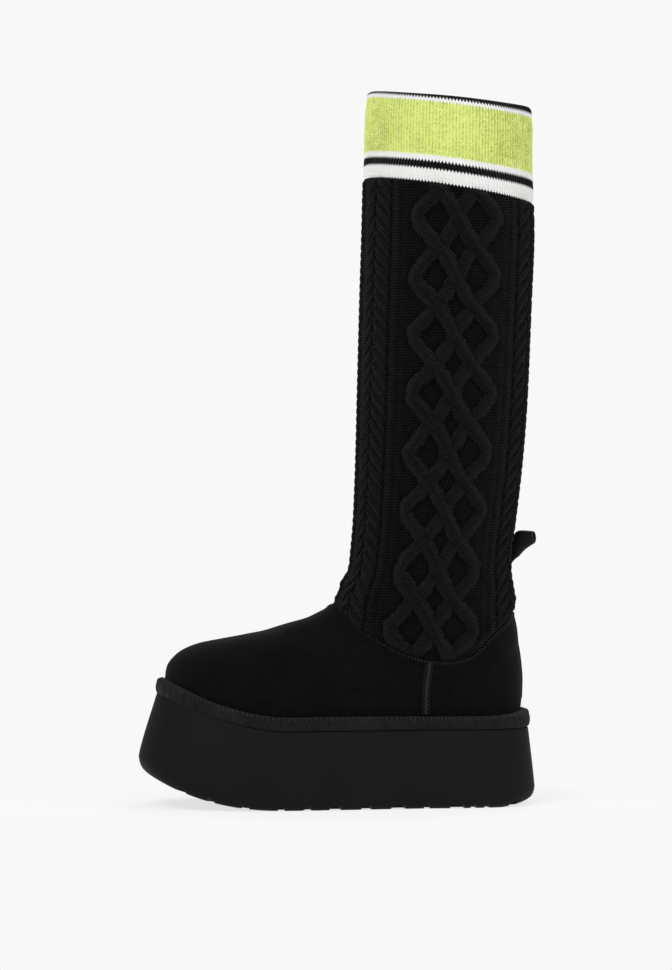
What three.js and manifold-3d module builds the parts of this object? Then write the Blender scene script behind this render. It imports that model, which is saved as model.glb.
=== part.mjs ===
// Sweater boot: a cable-knit shaft on a suede foot with a tall platform sole.
// Millimetres. +X runs to the toe, +Y to the wearer's left (the outer side), +Z up.
// The origin is on the floor under the ankle, on the flat of the tread.
import * as THREE from "three";
import Module from "manifold-3d";

const wasm = await Module();
wasm.setup();

// Driving sizes of the foot
const FOOT_LENGTH = 251.3; // the upper at its lower edge, heel to toe
const REAR_REACH = 29.6; // how far the upper's heel lies behind the origin
const BALL_WIDTH = 89.5; // the upper at its lower edge, across the ball
const PLATFORM_HEIGHT = 54.2; // floor to the top of the sole, at the heel
const TOP_SPRING = 26.6; // how far the top of the sole climbs at the toe
const TREAD_SPRING = 26.8; // how far the tread climbs at the toe
const HEEL_SPRING = 5.0; // how far the tread climbs at the back of the heel
const INSTEP_HEIGHT = 141.4; // floor to the front of the knit seam
const SIDE_DIP_HEIGHT = 103.0; // floor to the lowest point of the knit seam
const HEEL_SEAM_DROP = 5.4; // how far the seam's back lies below its front
const ANKLE_DEPTH = 125.6; // front to back along the knit seam
const ANKLE_WIDTH = 82.0; // across the knit seam
const ANKLE_REAR = 22.7; // how far the seam's back lies behind the origin
const SUEDE_WALL = 2.8;
const SEAM_BEAD = 1.0; // how far the stitched edge of the suede stands out

// Driving sizes of the leg
const LEG_DEPTH = 121.2; // front to back below the cuff
const LEG_WIDTH = 103.0; // across below the cuff
const LEG_REAR = 37.8; // how far the leg's back lies behind the origin
const LEG_TOP = 433.0; // floor to the top of the knit, on the leg's own axis
const LEG_TOP_TILT = 8.3; // degrees, the knit's top edge falls to the back
const KNIT_WALL = 3.2;
const CABLE_HEIGHT = 3.2;
const CABLE_REPEAT = 40.7; // height of one diamond of the trellis
const CABLE_EYE_HEIGHT = 389.8; // floor to the highest open diamond

// Driving sizes of the cuff
const CUFF_HEIGHT = 61.5; // on the leg's own axis
const CUFF_TOP_TILT = 4.8; // degrees
const CUFF_WALL = 4.2;

// Driving sizes of the sole and its band
const SOLE_TOP_REACH = 3.9; // how far the sole's top edge stands outside the upper
const SOLE_FLARE = 8.2; // how far the side walks out on the way down, at the waist
const EDGE_ROUND = 8.0;
const LUG_DEPTH = 2.8;
const LUG_REACH = 14.0;
const BAND_HEIGHT = 9.6; // along the sides of the foot
const BAND_PROUD = 1.2; // how far the band stands outside the sole's top edge
const INSOLE_THICK = 4.0;
const STRAP_WIDTH = 6.2;
const STRAP_THICK = 1.2;
const RIBBON_WIDTH = 18.5;
const RIBBON_THICK = 1.4;

// How the pieces fit
const GAP = 0.3;
const SEAM_GAP = 0.4;

// Facets
const COLUMNS = 52;
const SOLE_LINES = 80;
const QUARTER = COLUMNS / 4;

// The outline of the last at its lower edge, from the toe round the outer side.
// along: share of FOOT_LENGTH from the heel; across: share of BALL_WIDTH.
const OUTLINE = [
  { along: 1.0, across: -0.07 },
  { along: 0.945, across: 0.255 },
  { along: 0.775, across: 0.45 },
  { along: 0.548, across: 0.44 },
  { along: 0.32, across: 0.378 },
  { along: 0.167, across: 0.376 },
  { along: 0.071, across: 0.322 },
  { along: 0.016, across: 0.18 },
  { along: 0.0, across: 0.0 },
  { along: 0.016, across: -0.18 },
  { along: 0.071, across: -0.322 },
  { along: 0.167, across: -0.372 },
  { along: 0.32, across: -0.342 },
  { along: 0.548, across: -0.42 },
  { along: 0.775, across: -0.545 },
  { along: 0.945, across: -0.4 },
];

// The way the suede rises from the sole to the knit seam on five lines of the last.
// in: share of the way over to the seam; up: share of the rise; out: mm of swell.
const RISE = {
  toe: [
    { in: 0, up: 0, out: 0 },
    { in: 0, up: 0.19, out: 0 },
    { in: 0.014, up: 0.325, out: 0 },
    { in: 0.058, up: 0.434, out: 0 },
    { in: 0.115, up: 0.507, out: 0 },
    { in: 0.2, up: 0.563, out: 0 },
    { in: 0.32, up: 0.605, out: 0 },
    { in: 0.46, up: 0.655, out: 0 },
    { in: 0.61, up: 0.722, out: 0 },
    { in: 0.77, up: 0.808, out: 0 },
    { in: 0.91, up: 0.905, out: 0 },
    { in: 1, up: 1, out: 0 },
  ],
  corner: [
    { in: 0, up: 0, out: 0 },
    { in: 0, up: 0.17, out: 0 },
    { in: 0.006, up: 0.285, out: 0.4 },
    { in: 0.035, up: 0.4, out: 0.3 },
    { in: 0.085, up: 0.49, out: 0 },
    { in: 0.165, up: 0.562, out: 0 },
    { in: 0.285, up: 0.625, out: 0 },
    { in: 0.43, up: 0.687, out: 0 },
    { in: 0.59, up: 0.757, out: 0 },
    { in: 0.76, up: 0.84, out: 0 },
    { in: 0.9, up: 0.922, out: 0 },
    { in: 1, up: 1, out: 0 },
  ],
  ball: [
    { in: 0, up: 0, out: 0 },
    { in: 0, up: 0.17, out: 0 },
    { in: 0.02, up: 0.27, out: 0.9 },
    { in: 0.06, up: 0.36, out: 1.1 },
    { in: 0.115, up: 0.44, out: 0.8 },
    { in: 0.19, up: 0.52, out: 0.2 },
    { in: 0.29, up: 0.6, out: -0.8 },
    { in: 0.42, up: 0.68, out: -1.6 },
    { in: 0.58, up: 0.765, out: -2.0 },
    { in: 0.75, up: 0.85, out: -1.6 },
    { in: 0.89, up: 0.93, out: -0.8 },
    { in: 1, up: 1, out: 0 },
  ],
  waist: [
    { in: 0, up: 0, out: 0 },
    { in: 0, up: 0.22, out: 0 },
    { in: 0.1, up: 0.31, out: 0.8 },
    { in: 0.2, up: 0.4, out: 1.3 },
    { in: 0.3, up: 0.49, out: 1.6 },
    { in: 0.42, up: 0.57, out: 1.6 },
    { in: 0.54, up: 0.65, out: 1.4 },
    { in: 0.66, up: 0.73, out: 1.1 },
    { in: 0.77, up: 0.81, out: 0.8 },
    { in: 0.87, up: 0.88, out: 0.5 },
    { in: 0.94, up: 0.95, out: 0.2 },
    { in: 1, up: 1, out: 0 },
  ],
  heel: [
    { in: 0, up: 0, out: 0 },
    { in: 0, up: 0.15, out: 0 },
    { in: 0, up: 0.24, out: 0.6 },
    { in: 0, up: 0.34, out: 1.0 },
    { in: 0, up: 0.43, out: 1.0 },
    { in: 0.07, up: 0.52, out: 0.7 },
    { in: 0.15, up: 0.61, out: 0.3 },
    { in: 0.25, up: 0.7, out: 0 },
    { in: 0.35, up: 0.79, out: 0 },
    { in: 0.49, up: 0.87, out: 0 },
    { in: 0.7, up: 0.94, out: 0 },
    { in: 1, up: 1, out: 0 },
  ],
};
const RISE_PLACES = [
  { column: 0, line: "toe" },
  { column: 3.4, line: "corner" },
  { column: 7, line: "ball" },
  { column: 13, line: "waist" },
  { column: 26, line: "heel" },
];

// The knit seam's height along the ankle.
// along: share of ANKLE_DEPTH from the back; dip: share of the way down to the low point.
const SEAM_LINE = [
  { along: 0, dip: 0 },
  { along: 0.065, dip: 0.26 },
  { along: 0.145, dip: 0.52 },
  { along: 0.235, dip: 0.84 },
  { along: 0.355, dip: 1 },
  { along: 0.495, dip: 1 },
  { along: 0.655, dip: 0.84 },
  { along: 0.86, dip: 0.47 },
  { along: 0.94, dip: 0.25 },
  { along: 1, dip: 0 },
];

// The leg. up: share of the height from the seam's low point to LEG_TOP;
// front and back: shares of LEG_DEPTH from the leg's axis; side: share of LEG_WIDTH.
const LEG = [
  { up: 0, front: 0.641, back: 0.38, side: 0.4 },
  { up: 0.118, front: 0.628, back: 0.382, side: 0.424 },
  { up: 0.148, front: 0.606, back: 0.38, side: 0.43 },
  { up: 0.185, front: 0.565, back: 0.366, side: 0.432 },
  { up: 0.233, front: 0.548, back: 0.37, side: 0.437 },
  { up: 0.294, front: 0.534, back: 0.392, side: 0.446 },
  { up: 0.42, front: 0.52, back: 0.432, side: 0.468 },
  { up: 0.552, front: 0.511, back: 0.46, side: 0.486 },
  { up: 0.764, front: 0.496, back: 0.485, side: 0.5 },
  { up: 0.894, front: 0.485, back: 0.5, side: 0.504 },
  { up: 1.012, front: 0.477, back: 0.495, side: 0.504 },
  { up: 1.18, front: 0.462, back: 0.492, side: 0.498 },
];
const LEG_AXIS = LEG_DEPTH / 2 - LEG_REAR;

// Raised bands beside the trellis, by columns from the front or back centre line.
const BAND_RELIEF = [0.45, 0.1, 0, 0.8, 0.62, 0.8, 0.06, 0, 0, 0];

// The side of the sole. up: share of its height; flare: share of the walk outwards.
const SOLE_SIDE = [
  { up: 0.26, flare: 0.89 },
  { up: 0.5, flare: 0.62 },
  { up: 0.75, flare: 0.31 },
  { up: 1, flare: 0 },
];
// The reach of the sole's top edge along the foot, as a multiple of SOLE_TOP_REACH.
const REACH_ALONG = [
  { along: 0, reach: 1.35 },
  { along: 0.12, reach: 1.12 },
  { along: 0.5, reach: 1.0 },
  { along: 0.85, reach: 1.1 },
  { along: 1, reach: 1.35 },
];
// The flare along the foot, as a multiple of SOLE_FLARE.
const FLARE_ALONG = [
  { along: 0, flare: 0.57 },
  { along: 0.12, flare: 0.85 },
  { along: 0.5, flare: 1.0 },
  { along: 0.8, flare: 1.1 },
  { along: 1, flare: 1.62 },
];
// Gaps between the lugs on each side. at: share of one side, toe to heel; wide: mm.
const LUG_GAPS = [
  { at: 0.134, wide: 5.5 },
  { at: 0.187, wide: 4 },
  { at: 0.243, wide: 3.5 },
  { at: 0.297, wide: 4 },
  { at: 0.335, wide: 4 },
  { at: 0.377, wide: 7 },
  { at: 0.422, wide: 7 },
  { at: 0.47, wide: 10 },
  { at: 0.524, wide: 4 },
  { at: 0.593, wide: 9 },
  { at: 0.635, wide: 3.5 },
  { at: 0.678, wide: 3.5 },
  { at: 0.776, wide: 5 },
  { at: 0.9, wide: 5 },
];
// The height of the band along the foot, as a multiple of BAND_HEIGHT.
const BAND_ALONG = [
  { along: 0, tall: 1.34 },
  { along: 0.05, tall: 1.06 },
  { along: 0.12, tall: 0.94 },
  { along: 0.5, tall: 1.0 },
  { along: 0.85, tall: 1.0 },
  { along: 1, tall: 1.24 },
];
// Grooves across the middle of the tread, as shares of FOOT_LENGTH from the heel.
const CROSS_GROOVES = [0.02, 0.245, 0.37, 0.5, 0.62, 0.74, 0.86];

// A smooth curve through a table: the value of one column where another has a value.
function read(table, keyName, valueName, key) {
  const last = table.length - 1;
  let i = 0;
  while (i < last - 1 && key > table[i + 1][keyName]) i += 1;
  const a = table[i];
  const b = table[i + 1];
  const span = b[keyName] - a[keyName];
  const t = Math.min(Math.max((key - a[keyName]) / span, 0), 1);
  const before = table[Math.max(i - 1, 0)];
  const after = table[Math.min(i + 2, last)];
  const slopeA = (b[valueName] - before[valueName]) / (b[keyName] - before[keyName]);
  const slopeB = (after[valueName] - a[valueName]) / (after[keyName] - a[keyName]);
  const t2 = t * t;
  const t3 = t2 * t;
  return (
    (2 * t3 - 3 * t2 + 1) * a[valueName] +
    (t3 - 2 * t2 + t) * span * slopeA +
    (3 * t2 - 2 * t3) * b[valueName] +
    (t3 - t2) * span * slopeB
  );
}

// The last's outline, and its outward direction
const outline = new THREE.CatmullRomCurve3(
  OUTLINE.map(
    (row) => new THREE.Vector3(row.along * FOOT_LENGTH - REAR_REACH, row.across * BALL_WIDTH, 0),
  ),
  true,
  "catmullrom",
  0.5,
);

function outlinePoint(t, out) {
  const wrapped = ((t % 1) + 1) % 1;
  const point = outline.getPoint(wrapped);
  const tangent = outline
    .getPoint((wrapped + 0.002) % 1)
    .sub(outline.getPoint((wrapped + 0.998) % 1))
    .normalize();
  return new THREE.Vector3(point.x + tangent.y * out, point.y - tangent.x * out, 0);
}

function shareAlong(x) {
  return (x + REAR_REACH) / FOOT_LENGTH;
}

// Heights of the sole's top face and of its tread at a place along the foot
function soleTop(x) {
  const bend = Math.max(shareAlong(x) - 0.675, 0) / 0.35;
  return PLATFORM_HEIGHT + TOP_SPRING * Math.pow(bend, 1.71);
}

function treadHeight(x) {
  const toe = Math.max(shareAlong(x) - 0.667, 0) / 0.408;
  const heel = Math.max(0.075 - shareAlong(x), 0) / 0.115;
  return TREAD_SPRING * Math.pow(toe, 2.4) + HEEL_SPRING * Math.pow(heel, 1.3);
}

// The knit seam round the ankle
function seamPoint(column, out) {
  const angle = (2 * Math.PI * column) / COLUMNS;
  const depth = ANKLE_DEPTH / 2;
  const width = ANKLE_WIDTH / 2;
  const normal = new THREE.Vector3(Math.cos(angle) / depth, Math.sin(angle) / width, 0).normalize();
  const along = (1 + Math.cos(angle)) / 2;
  const high = INSTEP_HEIGHT - HEEL_SEAM_DROP * (1 - along);
  const z = high - (high - SIDE_DIP_HEIGHT) * read(SEAM_LINE, "along", "dip", along);
  const x = depth - ANKLE_REAR + depth * Math.cos(angle);
  return new THREE.Vector3(x, width * Math.sin(angle), z).addScaledVector(normal, out);
}

// One point of the suede's outer face: column round the foot, level 0 to 1 up its rise
function suedePoint(column, level) {
  const folded = column > COLUMNS / 2 ? COLUMNS - column : column;
  let i = 0;
  while (i < RISE_PLACES.length - 2 && folded > RISE_PLACES[i + 1].column) i += 1;
  const near = RISE_PLACES[i];
  const far = RISE_PLACES[i + 1];
  const share = (folded - near.column) / (far.column - near.column);
  const blend = (1 - Math.cos(Math.PI * share)) / 2;
  const step = level * (RISE.toe.length - 1);
  const row = Math.min(Math.floor(step), RISE.toe.length - 2);
  const mix = (name) => {
    const along = (line) => {
      const a = RISE[line][row][name];
      const b = RISE[line][row + 1][name];
      const before = RISE[line][Math.max(row - 1, 0)][name];
      const after = RISE[line][Math.min(row + 2, RISE.toe.length - 1)][name];
      const t = step - row;
      const ease = t * t * (3 - 2 * t);
      const bend = (t - 2 * t * t + t * t * t) * (b - before) + (t * t * t - t * t) * (after - a);
      return a + (b - a) * ease + bend / 2;
    };
    return along(near.line) * (1 - blend) + along(far.line) * blend;
  };
  const base = outlinePoint(column / COLUMNS, mix("out"));
  const foot = soleTop(outlinePoint(column / COLUMNS, 0).x) + GAP;
  const seam = seamPoint(column, 0);
  const inward = mix("in");
  return new THREE.Vector3(
    base.x + (seam.x - base.x) * inward,
    base.y + (seam.y - base.y) * inward,
    foot + (seam.z - foot) * mix("up"),
  );
}

// A point set inwards from the suede's outer face by a depth along its own normal
function suedeInset(column, level, depth) {
  const high = Math.min(level + 0.02, 1);
  const low = Math.max(level - 0.02, 0);
  const across = suedePoint((column + 0.2) % COLUMNS, level).sub(
    suedePoint((column - 0.2 + COLUMNS) % COLUMNS, level),
  );
  const upward = suedePoint(column, high).sub(suedePoint(column, low));
  const normal = across.cross(upward).normalize();
  return suedePoint(column, level).addScaledVector(normal, -depth);
}

// The leg's round form at a height
function legPoint(column, z, out) {
  const angle = (2 * Math.PI * column) / COLUMNS;
  const up = (z - SIDE_DIP_HEIGHT) / (LEG_TOP - SIDE_DIP_HEIGHT);
  const front = read(LEG, "up", "front", up) * LEG_DEPTH;
  const back = read(LEG, "up", "back", up) * LEG_DEPTH;
  const depth = (front + back) / 2;
  const width = read(LEG, "up", "side", up) * LEG_WIDTH;
  const normal = new THREE.Vector3(Math.cos(angle) / depth, Math.sin(angle) / width, 0).normalize();
  const x = LEG_AXIS + (front - back) / 2 + depth * Math.cos(angle);
  return new THREE.Vector3(x, width * Math.sin(angle), z).addScaledVector(normal, out);
}

// The tilted plane the knit ends on, and the cuff's rim
function tiltedHeight(column, level, tilt) {
  const angle = (2 * Math.PI * column) / COLUMNS;
  return level + (LEG_DEPTH / 2) * Math.cos(angle) * Math.tan((tilt * Math.PI) / 180);
}

// The raised strands: a zigzag across eight columns, four strands a quarter apart
function zigzag(step) {
  const turn = ((step % 16) + 16) % 16;
  if (turn < 4) return turn;
  return turn < 12 ? 8 - turn : turn - 16;
}

function relief(column, row) {
  const fromSide = Math.min(Math.abs(column - QUARTER), Math.abs(column - 3 * QUARTER));
  const side = column < COLUMNS / 2 ? column - QUARTER : 3 * QUARTER - column;
  let height = 0;
  if (fromSide <= 4) {
    for (let strand = 0; strand < 4; strand += 1) {
      if (Math.abs(side - zigzag(row + 2 + 4 * strand)) < 0.5) height = 1;
    }
    return height * CABLE_HEIGHT;
  }
  const fromFront = Math.min(column, COLUMNS - column);
  const fromEnd = Math.min(fromFront, COLUMNS / 2 - fromFront);
  return BAND_RELIEF[fromEnd] * CABLE_HEIGHT;
}

// A closed body from rings of points: ring r joins ring r + 1, and the last the first.
// Each quad is split along its higher diagonal where heights are given.
function ringBody(rings, heights) {
  const count = rings[0].length;
  const positions = rings.flat().flatMap((p) => [p.x, p.y, p.z]);
  const index = [];
  for (let r = 0; r < rings.length; r += 1) {
    const next = (r + 1) % rings.length;
    for (let k = 0; k < count; k += 1) {
      const beside = (k + 1) % count;
      const a = r * count + k;
      const b = r * count + beside;
      const c = next * count + beside;
      const d = next * count + k;
      const flip = heights && heights[r][k] + heights[next][beside] > heights[r][beside] + heights[next][k];
      if (flip) index.push(a, b, c, a, c, d);
      else index.push(a, b, d, b, c, d);
    }
  }
  return closedGeometry(positions, index);
}

// A closed body from stacked loops, ends closed by rungs across from side to side
function stackBody(loops) {
  const count = loops[0].length;
  const positions = loops.flat().flatMap((p) => [p.x, p.y, p.z]);
  const index = [];
  for (let r = 0; r < loops.length - 1; r += 1) {
    for (let k = 0; k < count; k += 1) {
      const beside = (k + 1) % count;
      const a = r * count + k;
      const b = r * count + beside;
      index.push(a, b, a + count, b, b + count, a + count);
    }
  }
  const rungs = (start, up) => {
    for (let k = 0; k < count / 2; k += 1) {
      const a = start + k;
      const b = start + k + 1;
      const c = start + ((count - k - 1) % count);
      const d = start + ((count - k) % count);
      const faces = [];
      if (b !== c) faces.push([a, b, c]);
      if (a !== d) faces.push([a, c, d]);
      faces.forEach((f) => index.push(...(up ? f : f.reverse())));
    }
  };
  rungs(0, false);
  rungs((loops.length - 1) * count, true);
  return closedGeometry(positions, index);
}

function closedGeometry(positions, index) {
  const geometry = new THREE.BufferGeometry();
  geometry.setAttribute("position", new THREE.Float32BufferAttribute(positions, 3));
  geometry.setIndex(index);
  return geometry;
}

function ring(count, place) {
  return Array.from({ length: count }, (_, k) => place(k));
}

// Sole: a stack of outlines, then grooves cut up into the tread
function soleReach(t, share) {
  const along = shareAlong(outlinePoint(t, 0).x);
  const top = SOLE_TOP_REACH * read(REACH_ALONG, "along", "reach", along);
  return top + SOLE_FLARE * read(FLARE_ALONG, "along", "flare", along) * share;
}

function soleLoop(share, inset, lift) {
  return ring(SOLE_LINES, (k) => {
    const t = k / SOLE_LINES;
    const p = outlinePoint(t, soleReach(t, share) - inset);
    p.z = treadHeight(p.x) + lift;
    return p;
  });
}

function soleSideLoop(row) {
  return ring(SOLE_LINES, (k) => {
    const t = k / SOLE_LINES;
    const p = outlinePoint(t, soleReach(t, row.flare));
    const low = treadHeight(p.x);
    p.z = low + (soleTop(p.x) - low) * row.up;
    return p;
  });
}

const soleBody = stackBody([
  soleLoop(1, EDGE_ROUND * 0.62, 0),
  soleLoop(1, EDGE_ROUND * 0.22, EDGE_ROUND * 0.22),
  soleLoop(1, 0, EDGE_ROUND),
  ...SOLE_SIDE.map(soleSideLoop),
]);

function solid(geometry) {
  const flat = new Float32Array(geometry.getAttribute("position").array);
  const triVerts = new Uint32Array(geometry.getIndex().array);
  return new wasm.Manifold(new wasm.Mesh({ numProp: 3, vertProperties: flat, triVerts }));
}

function boxSolid(sizeX, sizeY, sizeZ, place) {
  const box = new THREE.BoxGeometry(sizeX, sizeY, sizeZ).applyMatrix4(place);
  const p = box.getAttribute("position");
  const keys = new Map();
  const positions = [];
  const index = Array.from(box.getIndex().array, (i) => {
    const key = [p.getX(i), p.getY(i), p.getZ(i)].map((v) => v.toFixed(4)).join();
    if (!keys.has(key)) {
      keys.set(key, keys.size);
      positions.push(p.getX(i), p.getY(i), p.getZ(i));
    }
    return keys.get(key);
  });
  return solid(closedGeometry(positions, index));
}

function grooveSolids() {
  const bars = [];
  for (const side of [1, -1]) {
    for (const gap of LUG_GAPS) {
      const t = side > 0 ? gap.at / 2 : 1 - gap.at / 2;
      const inner = outlinePoint(t, soleReach(t, 1) - LUG_REACH);
      const outer = outlinePoint(t, soleReach(t, 1) + LUG_REACH);
      const middle = inner.clone().add(outer).multiplyScalar(0.5);
      const turn = Math.atan2(outer.y - inner.y, outer.x - inner.x);
      const place = new THREE.Matrix4().makeRotationZ(turn);
      place.setPosition(middle.x, middle.y, treadHeight(middle.x) + LUG_DEPTH / 2 - 4);
      bars.push(boxSolid(2 * LUG_REACH, gap.wide, LUG_DEPTH + 8, place));
    }
  }
  for (const share of CROSS_GROOVES) {
    const x = share * FOOT_LENGTH - REAR_REACH;
    const z = treadHeight(x) - 4 + LUG_DEPTH / 2;
    const place = new THREE.Matrix4().makeTranslation(x, -0.03 * BALL_WIDTH, z);
    bars.push(boxSolid(4, 0.44 * BALL_WIDTH, LUG_DEPTH + 8, place));
  }
  return bars;
}

function geometryOf(manifold) {
  const mesh = manifold.getMesh();
  const positions = [];
  for (let i = 0; i < mesh.numVert; i += 1) {
    const at = i * mesh.numProp;
    positions.push(mesh.vertProperties[at], mesh.vertProperties[at + 1], mesh.vertProperties[at + 2]);
  }
  return closedGeometry(positions, Array.from(mesh.triVerts));
}

const sole = grooveSolids().reduce((body, bar) => body.subtract(bar), solid(soleBody));

// Band: a rounded ring on the sole's top edge, against the suede
const BAND_SECTION = [
  { across: 0, up: 0.04 },
  { across: 0.55, up: 0 },
  { across: 0.94, up: 0.16 },
  { across: 1, up: 0.45 },
  { across: 0.93, up: 0.75 },
  { across: 0.62, up: 0.96 },
  { across: 0.28, up: 1 },
  { across: 0.07, up: 0.92 },
];
const band = ringBody(
  BAND_SECTION.map((row) =>
    ring(COLUMNS, (k) => {
      const t = k / COLUMNS;
      const reach = soleReach(t, 0) + BAND_PROUD;
      const p = outlinePoint(t, GAP + (reach - GAP) * row.across);
      const tall = BAND_HEIGHT * read(BAND_ALONG, "along", "tall", shareAlong(p.x));
      p.z = soleTop(p.x) + GAP + tall * row.up;
      return p;
    }),
  ),
);

// Insole: a pad inside the suede, on the sole
const insole = stackBody(
  [
    { inset: 0, lift: 0 },
    { inset: 0, lift: 0.7 },
    { inset: 1.2, lift: 1 },
  ].map((row) =>
    ring(COLUMNS, (k) => {
      const p = outlinePoint(k / COLUMNS, -SUEDE_WALL - SEAM_GAP - row.inset);
      p.z = soleTop(p.x) + GAP + INSOLE_THICK * row.lift;
      return p;
    }),
  ),
);

// Suede upper: outer face up to the stitched edge, inner face back down
function suedeRim(out) {
  return ring(COLUMNS, (k) => seamPoint(k, out));
}

const suedeLevels = RISE.toe.map((_, i) => i / (RISE.toe.length - 1)).slice(0, -1);
const suedeOuter = suedeLevels.map((level) => ring(COLUMNS, (k) => suedePoint(k, level)));
const suedeInner = suedeLevels
  .slice(1)
  .filter((_, i) => i !== 3 && i !== 7)
  .reverse()
  .map((level) => ring(COLUMNS, (k) => suedeInset(k, level, SUEDE_WALL)));
const suedeFoot = ring(COLUMNS, (k) => {
  const p = outlinePoint(k / COLUMNS, -SUEDE_WALL);
  p.z = soleTop(p.x) + GAP;
  return p;
});
const suedeEdge = ring(COLUMNS, (k) => {
  const high = seamPoint(k, SEAM_BEAD);
  const low = suedePoint(k, 0.975);
  return new THREE.Vector3().lerpVectors(low, high, 0.4).setZ(high.z - 1.6);
});
const suede = ringBody([
  ...suedeOuter,
  suedeEdge,
  suedeRim(SEAM_BEAD),
  suedeRim(-SUEDE_WALL),
  ...suedeInner,
  suedeFoot,
]);

// Knit leg: rows on the levels of the trellis, pressed together at the slanting ends
const rowHeight = CABLE_REPEAT / 4;
const rowsBelow = Math.floor((CABLE_EYE_HEIGHT - SIDE_DIP_HEIGHT - 1) / rowHeight);
const rowsAbove = Math.floor((LEG_TOP - CABLE_EYE_HEIGHT) / rowHeight);
const rowCount = rowsBelow + rowsAbove + 1;

function knitHeight(column, row) {
  const low = seamPoint(column, 0).z + SEAM_GAP + 1.9 * (row + 1);
  const high = tiltedHeight(column, LEG_TOP, LEG_TOP_TILT) - 1.9 * (rowCount - row);
  const level = CABLE_EYE_HEIGHT + (row - rowsBelow) * rowHeight;
  return Math.min(Math.max(level, low), high);
}

// The knit leaves the seam's own outline within a short height
function knitPoint(column, z, out) {
  const leg = legPoint(column, z, out);
  const seam = seamPoint(column, out);
  const rise = z - seam.z - SEAM_GAP;
  const blend = Math.pow(Math.min(Math.max(rise / 9, 0), 1), 0.6);
  return new THREE.Vector3(seam.x + (leg.x - seam.x) * blend, seam.y + (leg.y - seam.y) * blend, z);
}

const knitFoot = ring(COLUMNS, (k) => seamPoint(k, 0.4).add(new THREE.Vector3(0, 0, SEAM_GAP)));
const knitFootInner = ring(COLUMNS, (k) =>
  seamPoint(k, -KNIT_WALL + 0.4).add(new THREE.Vector3(0, 0, SEAM_GAP)),
);
const knitTop = (out) =>
  ring(COLUMNS, (k) => legPoint(k, tiltedHeight(k, LEG_TOP, LEG_TOP_TILT), out));
const knitRows = Array.from({ length: rowCount }, (_, row) =>
  ring(COLUMNS, (k) => knitPoint(k, knitHeight(k, row), relief(k, row - rowsBelow) + 0.4)),
);
const knitHeights = knitRows.map((_, row) => ring(COLUMNS, (k) => relief(k, row - rowsBelow)));
const innerShares = [0.86, 0.68, 0.5, 0.32, 0.2, 0.11, 0.05];
const knitInner = innerShares.map((share) =>
  ring(COLUMNS, (k) => {
    const low = seamPoint(k, 0).z + SEAM_GAP;
    const high = tiltedHeight(k, LEG_TOP, LEG_TOP_TILT);
    return knitPoint(k, low + (high - low) * share, -KNIT_WALL + 0.4);
  }),
);
const flatRing = ring(COLUMNS, () => 0);
const knit = ringBody(
  [knitFoot, ...knitRows, knitTop(0), knitTop(-KNIT_WALL), ...knitInner, knitFootInner],
  [flatRing, ...knitHeights, flatRing, flatRing, ...knitInner.map(() => flatRing), flatRing],
);

// Cuff: a ribbed ring with a rolled rim, on the knit's top edge
const CUFF_SECTION = [
  { up: 0, out: 0 },
  { up: 0.06, out: 0.5 },
  { up: 0.14, out: 0.15 },
  { up: 0.3, out: 0.7 },
  { up: 0.75, out: 0.8 },
  { up: 0.9, out: 0.2 },
  { up: 0.965, out: 0.1 },
  { up: 0.99, out: -0.28 },
  { up: 1, out: -0.5 },
  { up: 0.99, out: -0.72 },
  { up: 0.965, out: -1 },
  { up: 0.5, out: -1 },
  { up: 0, out: -0.9 },
];
const cuff = ringBody(
  CUFF_SECTION.map((row) =>
    ring(COLUMNS, (k) => {
      const low = tiltedHeight(k, LEG_TOP, LEG_TOP_TILT) + SEAM_GAP;
      const high = tiltedHeight(k, LEG_TOP + CUFF_HEIGHT, CUFF_TOP_TILT);
      const out = row.out > 0 ? row.out * 1.6 : row.out * CUFF_WALL;
      return legPoint(k, low + (high - low) * row.up, out);
    }),
  ),
);

// Seam straps down each side of the suede, from the knit seam to the band
function strap(centre) {
  const steps = 12;
  const lowest = 0.087;
  const highest = 0.93;
  const corners = [
    { across: 1, out: 0 },
    { across: -1, out: 0 },
    { across: -0.75, out: 1 },
    { across: 0.75, out: 1 },
  ];
  const lean = centre < COLUMNS / 2 ? -0.62 : 0.62;
  const loops = Array.from({ length: steps }, (_, i) => {
    const level = lowest + (highest - lowest) * (i / (steps - 1));
    const along = centre + (lean * i) / (steps - 1);
    const pitch = suedePoint(along + 0.5, level).distanceTo(suedePoint(along - 0.5, level));
    const halfColumns = STRAP_WIDTH / 2 / pitch;
    return corners.map((corner) => {
      const depth = -(2.5 * GAP + STRAP_THICK * corner.out);
      return suedeInset(along + corner.across * halfColumns, level, depth);
    });
  });
  return stackBody(loops);
}

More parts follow.
